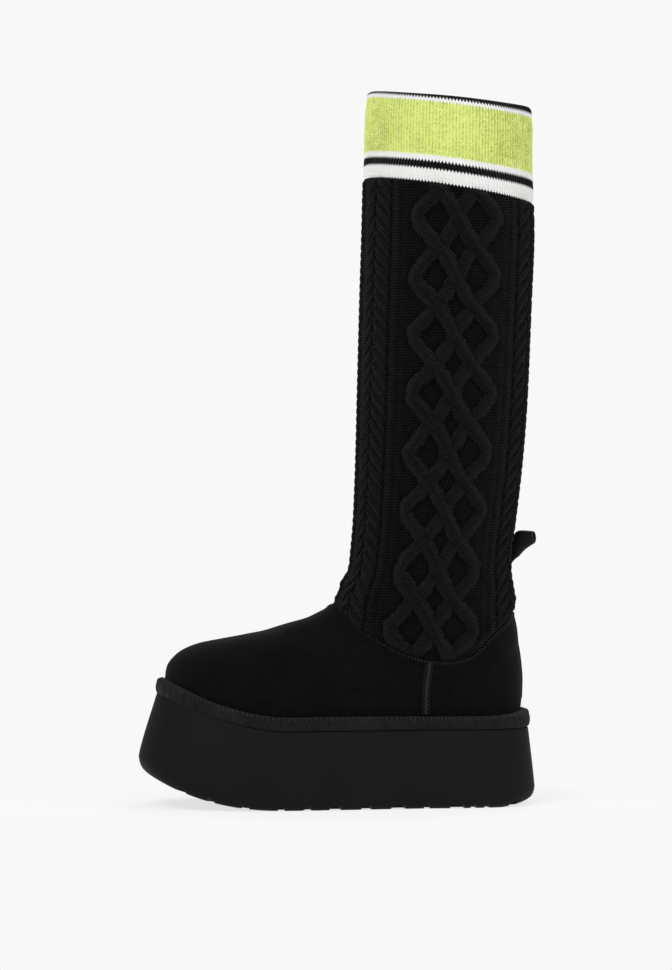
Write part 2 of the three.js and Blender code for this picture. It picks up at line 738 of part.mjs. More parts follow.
// Ribbon loop behind the leg: a flat sleeve sewn to the knit at its wide end
const RIBBON_HEIGHT = 176.5; // floor to the middle of its sewn end
function ribbonLoop() {
  const axis = new THREE.Vector3(-0.8, 0.58, 0.12).normalize();
  const sideways = new THREE.Vector3(axis.y, -axis.x, 0).normalize();
  const upward = new THREE.Vector3().crossVectors(axis, sideways).normalize();
  if (upward.z < 0) upward.negate();
  const standoff = BAND_RELIEF[0] * CABLE_HEIGHT + 0.4 + 2 * GAP;
  const wall = (z) => legPoint(COLUMNS / 2, z, standoff).x;
  const start = new THREE.Vector3(wall(RIBBON_HEIGHT), 0, RIBBON_HEIGHT);
  const stations = [
    { along: 0, tall: 15, thick: 4.4, rise: 0 },
    { along: 0.25, tall: 17.5, thick: 6.4, rise: 5.6 },
    { along: 0.6, tall: 13, thick: 6.8, rise: 8.6 },
    { along: 1, tall: 8.5, thick: 6.2, rise: 9.8 },
  ];
  const sleeve = (less) =>
    stations.map((row) =>
      ring(16, (k) => {
        const angle = (2 * Math.PI * k) / 16;
        const tall = row.tall / 2 - less;
        const thick = row.thick / 2 - less;
        const p = start
          .clone()
          .addScaledVector(axis, row.along * RIBBON_WIDTH)
          .addScaledVector(upward, tall * Math.cos(angle) + row.rise)
          .addScaledVector(sideways, thick * Math.sin(angle));
        if (row.along === 0) p.addScaledVector(axis, (wall(p.z) - p.x) / axis.x);
        return p;
      }),
    );
  return ringBody([...sleeve(0), ...sleeve(RIBBON_THICK).reverse()]);
}

// Finishes
const finish = (name, color, roughness) => {
  const material = new THREE.MeshStandardMaterial({ color, roughness, metalness: 0 });
  material.name = name;
  return material;
};
const suedeFinish = () => finish("suede", 0x161516, 0.95);
const pieces = [
  ["platform_sole", geometryOf(sole), finish("sole_foam", 0x1b1b1c, 0.7)],
  ["welt_band", band, finish("band_suede", 0x2b2a2b, 0.9)],
  ["insole", insole, finish("fleece", 0x8a8580, 1)],
  ["suede_upper", suede, suedeFinish()],
  ["side_strap_outer", strap(QUARTER + 0.62), suedeFinish()],
  ["side_strap_inner", strap(3 * QUARTER - 0.62), suedeFinish()],
  ["knit_leg", knit, finish("cable_knit", 0x222224, 0.95)],
  ["rib_cuff", cuff, finish("striped_rib", 0xd2e86e, 0.9)],
  ["ribbon_loop", ribbonLoop(), finish("ribbon", 0x18181a, 0.8)],
];

const boot = new THREE.Group();
boot.name = "sweater_boot";
for (const [name, geometry, material] of pieces) {
  geometry.computeVertexNormals();
  const mesh = new THREE.Mesh(geometry, material);
  mesh.name = name;
  boot.add(mesh);
}

export default boot;
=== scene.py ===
"""Sweater boot: a cable-knit leg on a suede foot with a tall platform sole.

Sizes are in millimetres in the tables and in metres in Blender. +X is the toe, +Y the outer side, +Z up.
"""

import math

import bpy
import numpy as np
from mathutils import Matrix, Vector


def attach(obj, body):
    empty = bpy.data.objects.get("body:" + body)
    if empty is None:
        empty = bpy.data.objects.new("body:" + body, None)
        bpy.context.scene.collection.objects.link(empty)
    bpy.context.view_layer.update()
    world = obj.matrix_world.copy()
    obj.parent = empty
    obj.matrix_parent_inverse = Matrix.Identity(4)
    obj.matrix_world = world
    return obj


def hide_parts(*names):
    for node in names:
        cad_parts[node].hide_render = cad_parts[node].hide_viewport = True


bl_info = {
    "name": "Sweater Boot",
    "version": (1, 0, 0),
    "blender": (4, 5, 0),
    "location": "View3D > Sidebar > Boot",
    "description": "Builds a cable-knit platform boot and its studio",
    "category": "Add Mesh",
}

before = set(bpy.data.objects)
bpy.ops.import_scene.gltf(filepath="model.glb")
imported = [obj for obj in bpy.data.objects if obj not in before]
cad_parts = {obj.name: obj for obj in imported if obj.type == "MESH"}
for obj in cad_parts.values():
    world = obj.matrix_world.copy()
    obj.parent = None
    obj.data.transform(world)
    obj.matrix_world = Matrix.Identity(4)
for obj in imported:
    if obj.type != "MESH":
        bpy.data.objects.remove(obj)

MM = 0.001

# Sizes of the solids, in mm and degrees
FOOT_LENGTH = 251.3
REAR_REACH = 29.6
BALL_WIDTH = 89.5
PLATFORM_HEIGHT = 54.2
TOP_SPRING = 26.6
TREAD_SPRING = 26.8
HEEL_SPRING = 5.0
INSTEP_HEIGHT = 141.4
SIDE_DIP_HEIGHT = 103.0
HEEL_SEAM_DROP = 5.4
ANKLE_DEPTH = 125.6
ANKLE_WIDTH = 82.0
ANKLE_REAR = 22.7
SUEDE_WALL = 2.8
LEG_DEPTH = 121.2
LEG_WIDTH = 103.0
LEG_REAR = 37.8
LEG_TOP = 433.0
LEG_TOP_TILT = 8.3
KNIT_WALL = 3.2
CABLE_REPEAT = 40.7
CABLE_EYE_HEIGHT = 389.8
CUFF_HEIGHT = 61.5
CUFF_TOP_TILT = 4.8
SOLE_TOP_REACH = 3.9
SOLE_FLARE = 8.2
EDGE_ROUND = 8.0
LUG_DEPTH = 2.8
BAND_HEIGHT = 9.6
BAND_PROUD = 1.2
STRAP_WIDTH = 6.2
RIBBON_WIDTH = 18.5
RIBBON_THICK = 1.4
RIBBON_HEIGHT = 176.5
GAP = 0.3
KNIT_FOOT = 0.4
COLUMNS = 52.0
COLUMN_PITCH = 7.25
CABLE_STEP = CABLE_REPEAT / 4
TREAD_MIDDLE = -0.03 * BALL_WIDTH

# Lengths round the boot, for counting stitches and ribs
BAND_LENGTH = 700.0
SEAM_LENGTH = 345.0
CUFF_LENGTH = 345.0

# Steps of the yarn: width and height of a knit stitch, height of a purl row, width of a purl bead
STITCH_WIDE = 3.0
STITCH_TALL = 2.3
PURL_ROW = 1.95
PURL_BEAD = 2.6
CUFF_ROWS = 34.0
# Steps of the ribbon's weave
WEFT_STEP = 0.8
WARP_STEP = 0.6

# The last's outline: share of the foot's length, share of the ball's width
OUTLINE = np.array([
    (1.0, -0.07), (0.945, 0.255), (0.775, 0.45), (0.548, 0.44),
    (0.32, 0.378), (0.167, 0.376), (0.071, 0.322), (0.016, 0.18),
    (0.0, 0.0), (0.016, -0.18), (0.071, -0.322), (0.167, -0.372),
    (0.32, -0.342), (0.548, -0.42), (0.775, -0.545), (0.945, -0.4),
])

# The suede's rise on five lines of the last: share in, share up, mm of swell
RISE = {
    "toe": [
        (0, 0, 0), (0, 0.19, 0), (0.014, 0.325, 0), (0.058, 0.434, 0),
        (0.115, 0.507, 0), (0.2, 0.563, 0), (0.32, 0.605, 0), (0.46, 0.655, 0),
        (0.61, 0.722, 0), (0.77, 0.808, 0), (0.91, 0.905, 0), (1, 1, 0),
    ],
    "corner": [
        (0, 0, 0), (0, 0.17, 0), (0.006, 0.285, 0.4), (0.035, 0.4, 0.3),
        (0.085, 0.49, 0), (0.165, 0.562, 0), (0.285, 0.625, 0), (0.43, 0.687, 0),
        (0.59, 0.757, 0), (0.76, 0.84, 0), (0.9, 0.922, 0), (1, 1, 0),
    ],
    "ball": [
        (0, 0, 0), (0, 0.17, 0), (0.02, 0.27, 0.9), (0.06, 0.36, 1.1),
        (0.115, 0.44, 0.8), (0.19, 0.52, 0.2), (0.29, 0.6, -0.8), (0.42, 0.68, -1.6),
        (0.58, 0.765, -2.0), (0.75, 0.85, -1.6), (0.89, 0.93, -0.8), (1, 1, 0),
    ],
    "waist": [
        (0, 0, 0), (0, 0.22, 0), (0.1, 0.31, 0.8), (0.2, 0.4, 1.3),
        (0.3, 0.49, 1.6), (0.42, 0.57, 1.6), (0.54, 0.65, 1.4), (0.66, 0.73, 1.1),
        (0.77, 0.81, 0.8), (0.87, 0.88, 0.5), (0.94, 0.95, 0.2), (1, 1, 0),
    ],
    "heel": [
        (0, 0, 0), (0, 0.15, 0), (0, 0.24, 0.6), (0, 0.34, 1.0),
        (0, 0.43, 1.0), (0.07, 0.52, 0.7), (0.15, 0.61, 0.3), (0.25, 0.7, 0),
        (0.35, 0.79, 0), (0.49, 0.87, 0), (0.7, 0.94, 0), (1, 1, 0),
    ],
}
RISE_PLACES = [(0, "toe"), (3.4, "corner"), (7, "ball"), (13, "waist"), (26, "heel")]

# The knit seam: share of the ankle from the back, share of the dip
SEAM_LINE = [
    (0, 0), (0.065, 0.26), (0.145, 0.52), (0.235, 0.84), (0.355, 1),
    (0.495, 1), (0.655, 0.84), (0.86, 0.47), (0.94, 0.25), (1, 0),
]

# The leg: share of its height, then front, back and side reach as shares
LEG = np.array([
    (0, 0.641, 0.38, 0.4), (0.118, 0.628, 0.382, 0.424), (0.148, 0.606, 0.38, 0.43),
    (0.185, 0.565, 0.366, 0.432), (0.233, 0.548, 0.37, 0.437), (0.294, 0.534, 0.392, 0.446),
    (0.42, 0.52, 0.432, 0.468), (0.552, 0.511, 0.46, 0.486), (0.764, 0.496, 0.485, 0.5),
    (0.894, 0.485, 0.5, 0.504), (1.012, 0.477, 0.495, 0.504), (1.18, 0.462, 0.492, 0.498),
])
LEG_AXIS = LEG_DEPTH / 2 - LEG_REAR

# The sole's side: share of its height, share of the flare
SOLE_SIDE = [(0.14, 1.0), (0.26, 0.89), (0.5, 0.62), (0.75, 0.31), (1, 0)]
FLARE_ALONG = [(0, 0.57), (0.12, 0.85), (0.5, 1.0), (0.8, 1.1), (1, 1.62)]
REACH_ALONG = [(0, 1.35), (0.12, 1.12), (0.5, 1.0), (0.85, 1.1), (1, 1.35)]
# Gaps between lugs on each side: share of the side from the toe, width in mm
LUG_GAPS = [
    (0.134, 5.5), (0.187, 4), (0.243, 3.5), (0.297, 4), (0.335, 4), (0.377, 7), (0.422, 7),
    (0.47, 10), (0.524, 4), (0.593, 9), (0.635, 3.5), (0.678, 3.5), (0.776, 5), (0.9, 5),
]
# The band's height along the foot, as a multiple of its height at the side
BAND_ALONG = [(0, 1.34), (0.05, 1.06), (0.12, 0.94), (0.5, 1.0), (0.85, 1.0), (1, 1.24)]
CROSS_GROOVES = [0.02, 0.245, 0.37, 0.5, 0.62, 0.74, 0.86]

# The cuff's stripes from its lower edge: share of its height where each ends, and its colour
STRIPES = [
    (0.133, "white"), (0.224, "black"), (0.291, "white"),
    (0.908, "lime"), (0.952, "white"), (1.2, "black"),
]

# How much light is left in the grooves of each stripe
DEEP = {"lime": (0.42, 0.46, 0.22), "white": (0.9, 0.9, 0.88), "black": (0.5, 0.5, 0.5)}


def curve(t, a, b, slope_a, slope_b):
    """A smooth curve from a to b as t runs from 0 to 1, with the slopes of its ends."""
    return (
        (2 * t**3 - 3 * t**2 + 1) * a
        + (t**3 - 2 * t**2 + t) * slope_a
        + (3 * t**2 - 2 * t**3) * b
        + (t**3 - t**2) * slope_b
    )


def read(rows, x, column=1):
    """The value of one column of a table at x in its first column, on a smooth curve."""
    rows = np.asarray(rows, float)
    keys, values = rows[:, 0], rows[:, column]
    last = len(keys) - 1
    x = np.asarray(x, float)
    i = np.clip(np.searchsorted(keys, x, side="left") - 1, 0, last - 1)
    before, after = np.maximum(i - 1, 0), np.minimum(i + 2, last)
    span = keys[i + 1] - keys[i]
    t = np.clip((x - keys[i]) / span, 0, 1)
    slope_a = (values[i + 1] - values[before]) / (keys[i + 1] - keys[before])
    slope_b = (values[after] - values[i]) / (keys[after] - keys[i])
    return curve(t, values[i], values[i + 1], span * slope_a, span * slope_b)


def smooth(low, high, x):
    """0 below low, 1 above high, and a soft step between."""
    t = np.clip((np.asarray(x, float) - low) / (high - low), 0, 1)
    return t * t * (3 - 2 * t)


def dome(share):
    """1 in the middle of a strand, 0 at its edges and beyond."""
    return np.clip(1 - share**2, 0, 1)


def unit(vectors):
    """The same directions with a length of 1."""
    return vectors / np.linalg.norm(vectors, axis=-1, keepdims=True)


def oval(turn, depth, width, out):
    """A place on an oval about the origin, x and y, moved outwards by out."""
    angle = 2 * np.pi * np.asarray(turn, float)
    nx, ny = np.cos(angle) / depth, np.sin(angle) / width
    size = np.hypot(nx, ny)
    return depth * np.cos(angle) + nx / size * out, width * np.sin(angle) + ny / size * out


def outline(turn, out=0.0):
    """A place on the last's outline, x and y, moved outwards by out."""
    points = OUTLINE * (FOOT_LENGTH, BALL_WIDTH) - (REAR_REACH, 0)
    count = len(points)

    def at(where):
        place = (where % 1) * count
        i = np.floor(place).astype(int) % count
        t = (place - np.floor(place))[..., None]
        before, a, b, after = (points[(i + k) % count] for k in (-1, 0, 1, 2))
        return curve(t, a, b, (b - before) / 2, (after - a) / 2)

    turn = np.asarray(turn, float)
    here = at(turn)
    along = unit(at(turn + 0.002) - at(turn - 0.002))
    return here[..., 0] + along[..., 1] * out, here[..., 1] - along[..., 0] * out


def share_along(x):
    """How far x is along the foot, from 0 at the heel to 1 at the toe."""
    return (x + REAR_REACH) / FOOT_LENGTH


def sole_top(x):
    """Height of the platform's top, which rises toward the toe."""
    return PLATFORM_HEIGHT + TOP_SPRING * (np.maximum(share_along(x) - 0.675, 0) / 0.35) ** 1.71


def tread_height(x):
    """Height of the tread, which lifts off the floor at the toe and a little at the heel."""
    toe = np.maximum(share_along(x) - 0.667, 0) / 0.408
    heel = np.maximum(0.075 - share_along(x), 0) / 0.115
    return TREAD_SPRING * toe**2.4 + HEEL_SPRING * heel**1.3


def seam(turn, out=0.0):
    """A place on the knit seam."""
    x, y = oval(turn, ANKLE_DEPTH / 2, ANKLE_WIDTH / 2, out)
    along = (1 + np.cos(2 * np.pi * np.asarray(turn, float))) / 2
    high = INSTEP_HEIGHT - HEEL_SEAM_DROP * (1 - along)
    z = high - (high - SIDE_DIP_HEIGHT) * read(SEAM_LINE, along)
    return ANKLE_DEPTH / 2 - ANKLE_REAR + x, y, z


def suede(turn, level):
    """The suede's outer face, as an array of points, at level 0 to 1 of its rise."""
    turn, level = np.broadcast_arrays(np.asarray(turn, float), np.asarray(level, float))
    folded = np.where(turn > 0.5, 1 - turn, turn) * COLUMNS
    tables = {name: np.array(rows, float) for name, rows in RISE.items()}
    last = len(RISE["toe"]) - 1
    step = level * last
    row = np.minimum(np.floor(step).astype(int), last - 1)
    t = (step - row)[..., None]

    def line(name):
        rows = tables[name]
        a, b = rows[row], rows[row + 1]
        before, after = rows[np.maximum(row - 1, 0)], rows[np.minimum(row + 2, last)]
        return curve(t, a, b, (b - before) / 2, (after - a) / 2)

    shape = np.zeros(turn.shape + (3,))
    for (start, near), (end, far) in zip(RISE_PLACES, RISE_PLACES[1:]):
        inside = (folded >= start) & ((folded < end) | (end == RISE_PLACES[-1][0]))
        blend = ((1 - np.cos(np.pi * (folded - start) / (end - start))) / 2)[..., None]
        mixed = line(near) * (1 - blend) + line(far) * blend
        shape = np.where(inside[..., None], mixed, shape)
    inward, up, out = shape[..., 0], shape[..., 1], shape[..., 2]
    x, y = outline(turn, out)
    foot = sole_top(outline(turn)[0]) + GAP
    seam_x, seam_y, seam_z = seam(turn)
    x, y = x + (seam_x - x) * inward, y + (seam_y - y) * inward
    return np.stack([x, y, foot + (seam_z - foot) * up], -1)


def suede_at(turn, level, out=0.0):
    """The suede's outer face moved outwards along its normal, and that normal."""
    turn, level = np.broadcast_arrays(np.asarray(turn, float), np.asarray(level, float))
    across = suede((turn + 0.004) % 1, level) - suede((turn - 0.004) % 1, level)
    upward = suede(turn, np.minimum(level + 0.02, 1)) - suede(turn, np.maximum(level - 0.02, 0))
    normal = unit(np.cross(across, upward))
    return suede(turn, level) + normal * np.asarray(out)[..., None], normal


def leg(turn, z, out=0.0):
    """A place on the leg's round form at height z."""
    up = (z - SIDE_DIP_HEIGHT) / (LEG_TOP - SIDE_DIP_HEIGHT)
    front, back = read(LEG, up, 1) * LEG_DEPTH, read(LEG, up, 2) * LEG_DEPTH
    x, y = oval(turn, (front + back) / 2, read(LEG, up, 3) * LEG_WIDTH, out)
    return LEG_AXIS + (front - back) / 2 + x, y, z + 0 * x


def knit(turn, z, out=0.0):
    """The leg's form, which leaves the seam's own outline within a short height."""
    leg_x, leg_y, _ = leg(turn, z, out)
    seam_x, seam_y, seam_z = seam(turn, out)
    blend = np.clip((z - seam_z - KNIT_FOOT) / 9, 0, 1) ** 0.6
    x, y = seam_x + (leg_x - seam_x) * blend, seam_y + (leg_y - seam_y) * blend
    return np.stack([x, y, z + 0 * x], -1)


def tilted(turn, level, tilt):
    """Height round a level edge of the leg that slants up toward the toe."""
    return level + LEG_DEPTH / 2 * np.cos(2 * np.pi * np.asarray(turn)) * math.tan(math.radians(tilt))


def sole_reach(turn, share):
    """How far the sole stands out from the last, with a share of its flare."""
    along = share_along(outline(turn)[0])
    return SOLE_TOP_REACH * read(REACH_ALONG, along) + SOLE_FLARE * read(FLARE_ALONG, along) * share


def zigzag(step):
    """The path of a strand: a wave of sixteen steps, four columns to each side, drawn in at the middle."""
    wave = np.arcsin(0.97 * np.sin(2 * np.pi * step / 16)) / math.asin(0.97)
    return 4 * wave * (0.6 + 0.4 * np.abs(wave) ** 1.3)


class Value:
    """A number inside a finish, so that shader maths reads as an expression."""

    def __init__(self, finish, socket):
        self.finish, self.socket = finish, socket

    def math(self, operation, *others):
        inputs = dict(enumerate((self,) + others))
        return self.finish.node("ShaderNodeMath", {"operation": operation}, inputs)

    def __add__(self, other):
        return self.math("ADD", other)

    __radd__ = __add__

    def __sub__(self, other):
        return self.math("SUBTRACT", other)

    def __rsub__(self, other):
        return (self * -1.0) + other

    def __mul__(self, other):
        return self.math("MULTIPLY", other)

    __rmul__ = __mul__

    def __pow__(self, other):
        return self.math("POWER", other)

    def __abs__(self):
        return self.math("ABSOLUTE")

    def frac(self):
        return self.math("FRACT")

    def floor(self):
        return self.math("FLOOR")

    def sin(self):
        return self.math("SINE")

    def above(self, edge):
        return self.math("GREATER_THAN", edge)

    def clamp(self):
        return self.math("MAXIMUM", 0.0).math("MINIMUM", 1.0)

    def ramp(self, low, high):
        settings = {"interpolation_type": "SMOOTHSTEP"}
        return self.finish.node("ShaderNodeMapRange", settings, {0: self, 1: low, 2: high})


def input_name(key):
    """The shader's name for an input written as one word."""
    return key.replace("_", " ").title().replace("Ior", "IOR")


class Finish:
    """A procedural material on one Principled shader."""

    def __init__(self, name, **constants):
        self.material = bpy.data.materials.new(name)
        self.material.use_nodes = True
        self.tree = self.material.node_tree
        self.shader = self.tree.nodes["Principled BSDF"]
        for key, value in constants.items():
            self.shader.inputs[input_name(key)].default_value = value

    def node(self, kind, settings=None, inputs=None, out=0):
        made = self.tree.nodes.new(kind)
        for key, value in (settings or {}).items():
            setattr(made, key, value)
        for key, value in (inputs or {}).items():
            if isinstance(value, Value):
                self.tree.links.new(value.socket, made.inputs[key])
            else:
                made.inputs[key].default_value = value
        return Value(self, made.outputs[out])

    def place(self):
        return self.node("ShaderNodeTexCoord", out=3)

    def split(self, vector):
        parts = self.tree.nodes.new("ShaderNodeSeparateXYZ")
        self.tree.links.new(vector.socket, parts.inputs[0])
        return Value(self, parts.outputs[0]), Value(self, parts.outputs[1])

    def uv(self):
        return self.split(self.node("ShaderNodeUVMap", {"uv_map": "weave"}))

    def attribute(self, name):
        return self.node("ShaderNodeAttribute", {"attribute_name": name}, out=2)

    def noise(self, scale, detail=3.0, roughness=0.55):
        inputs = {"Vector": self.place(), "Scale": scale, "Detail": detail, "Roughness": roughness}
        return self.node("ShaderNodeTexNoise", {}, inputs)

    def mix(self, factor, a, b):
        return self.node("ShaderNodeMix", {"data_type": "RGBA"}, {0: factor, 6: a, 7: b}, out=2)

    def bump(self, height, distance, strength):
        inputs = {"Height": height, "Distance": distance, "Strength": strength}
        return self.node("ShaderNodeBump", {}, inputs)

    def feed(self, **values):
        for key, value in values.items():
            self.tree.links.new(value.socket, self.shader.inputs[input_name(key)])
        return self.material


def colour(tone, factor=1.0):
    """A shader's colour from linear light, made lighter or darker by a factor."""
    return (tone[0] * factor, tone[1] * factor, tone[2] * factor, 1.0)


def add(name, data):
    """A new object in the scene that shows the data."""
    made = bpy.data.objects.new(name, data)
    bpy.context.scene.collection.objects.link(made)
    return made


def sizes():
    return bpy.context.scene.boot_sizes


def colours():
    return bpy.context.scene.boot_colours


def mesh_piece(name, points, faces, material, uv=None, kind=None, crest=None):
    """A smooth mesh from points in mm, with an optional UV map and numbers for faces and for points."""
    mesh = bpy.data.meshes.new(name)
    mesh.from_pydata((np.asarray(points).reshape(-1, 3) * MM).tolist(), [], np.asarray(faces).tolist())
    mesh.polygons.foreach_set("use_smooth", [True] * len(mesh.polygons))
    if uv is not None:
        layer = mesh.uv_layers.new(name="weave")
        layer.data.foreach_set("uv", np.ascontiguousarray(uv, dtype=np.float32).ravel())
    # The crest numbers on points give the knit's colour its painted shade in hollows and painted highlight
    # on crests
    for label, domain, values in (("kind", "FACE", kind), ("crest", "POINT", crest)):
        if values is not None:
            data = mesh.attributes.new(label, "FLOAT", domain).data
            data.foreach_set("value", np.ascontiguousarray(values, dtype=np.float32).ravel())
    mesh.materials.append(material)
    return add(name, mesh)


def grid_faces(rows, columns, around=True):
    """Quads of a grid, as corner numbers, with the columns closed into a ring if around."""
    r = np.arange(rows - 1)[:, None]
    c = np.arange(columns if around else columns - 1)[None, :]
    beside = (c + 1) % columns
    corners = [r * columns + c, r * columns + beside, (r + 1) * columns + beside, (r + 1) * columns + c]
    return np.stack(np.broadcast_arrays(*corners), -1).reshape(-1, 4)


def grid_uv(u, v):
    """The weave map of an open grid of columns closed into a ring: u and v at every corner."""
    corners = [(0, 0), (0, 1), (1, 1), (1, 0)]
    rows, columns = u.shape[0] - 1, u.shape[1] - 1
    parts = [
        np.stack([u[a:a + rows, b:b + columns], v[a:a + rows, b:b + columns]], -1) for a, b in corners
    ]
    return np.stack(parts, 2)


def declare(piece, slot, *nodes):
    """Puts a piece on the object and hides the solids that it stands for."""
    if nodes:
        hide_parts(*nodes)
    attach(piece, "root")


def suede_finish(name, tone, nap=1.0):
    """Napped leather: a soft short pile that catches the light unevenly."""
    sheen = 0.04 * nap
    finish = Finish(name, roughness=0.9, sheen_weight=sheen, sheen_roughness=0.5, specular_ior_level=0.04)
    clouds = finish.noise(38.0, 4.0)
    grain = finish.noise(1500.0, 2.0, 0.7)
    scuff = finish.noise(210.0, 3.0)
    shade = (clouds * 0.4 + scuff * 0.4 + grain * 0.4).ramp(0.35, 0.85)
    height = grain * 0.6 + scuff * 0.4
    return finish.feed(
        base_color=finish.mix(shade, colour(tone, 0.6), colour(tone, 1.7)),
        roughness=0.82 + scuff * 0.18,
        normal=finish.bump(height, 0.00022, 0.55),
    )


def foam_finish(name, tone):
    """Moulded foam rubber: matte, faintly pebbled, with slow waves left by the mould."""
    finish = Finish(name, specular_ior_level=0.1)
    pebble = finish.noise(900.0, 2.0)
    wave = finish.noise(26.0, 2.0)
    shade = (wave * 0.7 + pebble * 0.3).ramp(0.3, 0.75)
    return finish.feed(
        base_color=finish.mix(shade, colour(tone), colour(tone, 1.35)),
        roughness=0.58 + wave * 0.16,
        normal=finish.bump(pebble * 0.5 + wave * 2.0, 0.00018, 0.5),
    )


def stitch_height(u, v):
    """Knit stitches as columns of small Vs, in mm of the weave map."""
    side = abs((u * (1.0 / STITCH_WIDE)).frac() - 0.5) * 2.0
    row = ((v * (1.0 / STITCH_TALL)) - side * 0.85).frac()
    leg_line = (side * math.pi).sin().clamp() ** 0.55
    return (row * math.pi).sin().clamp() ** 0.7 * leg_line


def knit_finish(name, tone):
    """Wool-like knit: V stitches on the strands, purl bumps on the ground, and loose fibre, with painted
    shade in the hollows and a painted highlight on the crests.
    """
    finish = Finish(name, roughness=0.95, sheen_weight=0.045, sheen_roughness=0.45, specular_ior_level=0.04)
    u, v = finish.uv()
    drift = finish.noise(120.0, 2.0)
    v = v + drift * 2.4
    strand = stitch_height(u + STITCH_WIDE / 2 + drift, v)
    line = v * (1.0 / PURL_ROW)
    shift = line.floor() * 0.5
    bead = abs((((u + drift) * (1.0 / PURL_BEAD) + shift) * math.pi).sin())
    purl = abs((line * math.pi).sin()) * (0.3 + bead * 0.7)
    kind = finish.attribute("kind")
    fuzz = finish.noise(1100.0, 3.0, 0.7)
    clump = finish.noise(95.0, 2.0)
    height = (strand * 1.6 + 0.05) * kind + purl * (1.0 - kind) * 1.4 + fuzz * 0.9
    # Painted shade and highlight: the colour darkens in stitch hollows and between strands and lightens on
    # crests, from stitch height and the crest map; clump adds random tone
    shade = (height * 0.6 + clump * 0.25 + finish.attribute("crest") * 0.55).ramp(0.62, 1.85)
    return finish.feed(
        base_color=finish.mix(shade, colour(tone, 0.15), colour(tone, 3.1)),
        normal=finish.bump(height, 0.0011, 0.9),
    )


def cuff_finish(name, tones):
    """Ribbed knit in stripes whose edges step from stitch to stitch."""
    finish = Finish(name, roughness=0.92, sheen_weight=0.14, sheen_roughness=0.35, specular_ior_level=0.1)
    u, v = finish.uv()
    rib = abs((u * (1.0 / sizes().rib_pitch)).frac() - 0.5) * 2.0
    row = (v * CUFF_ROWS - rib * 0.8).frac()
    stitch = (row * math.pi).sin().clamp() ** 0.7
    fuzz = finish.noise(1500.0, 3.0, 0.7)
    edge = v + (rib - 0.5) * 0.033 + (fuzz - 0.5) * 0.016

    def striped(shade):
        tone = colour(shade(STRIPES[0][1]))
        for (start, _), (_, named) in zip(STRIPES, STRIPES[1:]):
            tone = finish.mix(edge.above(start), tone, colour(shade(named)))
        return tone

    streak = finish.noise(160.0, 3.0, 0.7)
    speck = finish.noise(780.0, 2.0, 0.6)
    cloud = finish.noise(30.0, 2.0)
    # Painted shade in the grooves between ribs and stitches, mixed with random specks, streaks and clouds
    # of darker tone
    groove = (rib * 0.3 + stitch * 0.25 + speck + streak * 0.45 + cloud * 0.45).ramp(0.88, 1.46)
    tone = striped(lambda named: tones[named])
    deep = striped(lambda named: [c * d for c, d in zip(tones[named], DEEP[named])])
    return finish.feed(
        base_color=finish.mix(groove, deep, tone),
        normal=finish.bump(stitch * 0.5 + rib * 0.5 + fuzz * 0.3, 0.0008, 0.9),
    )


def thread_finish(name, tone):
    """Twisted sewing thread."""
    finish = Finish(name, roughness=0.7, sheen_weight=0.05, specular_ior_level=0.15)
    twist = finish.noise(2600.0, 2.0)
    return finish.feed(
        base_color=finish.mix(twist.ramp(0.3, 0.7), colour(tone), colour(tone, 1.8)),
        normal=finish.bump(twist, 0.0002, 0.6),
    )


def pile_finish(name, tone):
    """Short curly pile inside the boot."""
    finish = Finish(name, roughness=1.0, sheen_weight=0.35, specular_ior_level=0.05)
    curl = finish.noise(420.0, 4.0, 0.65)
    return finish.feed(
        base_color=finish.mix(curl.ramp(0.3, 0.7), colour(tone), colour(tone, 2.2)),
        normal=finish.bump(curl, 0.0012, 0.9),
    )


def ribbon_finish(name, tone):
    """Woven tape with fine ribs across it."""
    finish = Finish(name, specular_ior_level=0.2, sheen_weight=0.02)
    u, v = finish.uv()
    weft = abs((v * (math.pi / WEFT_STEP)).sin())
    warp = abs((u * (math.pi / WARP_STEP)).sin())
    # The weave's relief; it also paints shade between the ribs and a painted highlight on their tops in the
    # colour
    weave = weft * 0.7 + warp * 0.3
    return finish.feed(
        base_color=finish.mix(weave, colour(tone), colour(tone, 1.8)),
        roughness=0.5 + warp * 0.15,
        normal=finish.bump(weave, 0.0003, 0.7),
    )


def stitch_mesh(name, length, radius, arch):
    """One stitch along X: a short thread that rises from the surface and goes back into it."""
    steps, around = 7, 6
    s = np.linspace(-1, 1, steps)
    centre = np.stack([s * length / 2, 0 * s, arch * (1 - s**2) - 0.25 * radius], -1)
    swell = radius * np.clip(1.15 - s**4, 0.35, 1)
    angle = 2 * np.pi * np.arange(around) / around
    rings = centre[:, None, :] + np.stack([
        np.zeros((steps, around)),
        swell[:, None] * np.cos(angle)[None, :],
        swell[:, None] * np.sin(angle)[None, :],
    ], -1)
    faces = [tuple(f) for f in grid_faces(steps, around)]
    faces += [tuple(reversed(range(around))), tuple(range((steps - 1) * around, steps * around))]
    mesh = bpy.data.meshes.new(name)
    mesh.from_pydata((rings.reshape(-1, 3) * MM).tolist(), [], faces)
    mesh.polygons.foreach_set("use_smooth", [True] * len(mesh.polygons))
    return add(name, mesh)


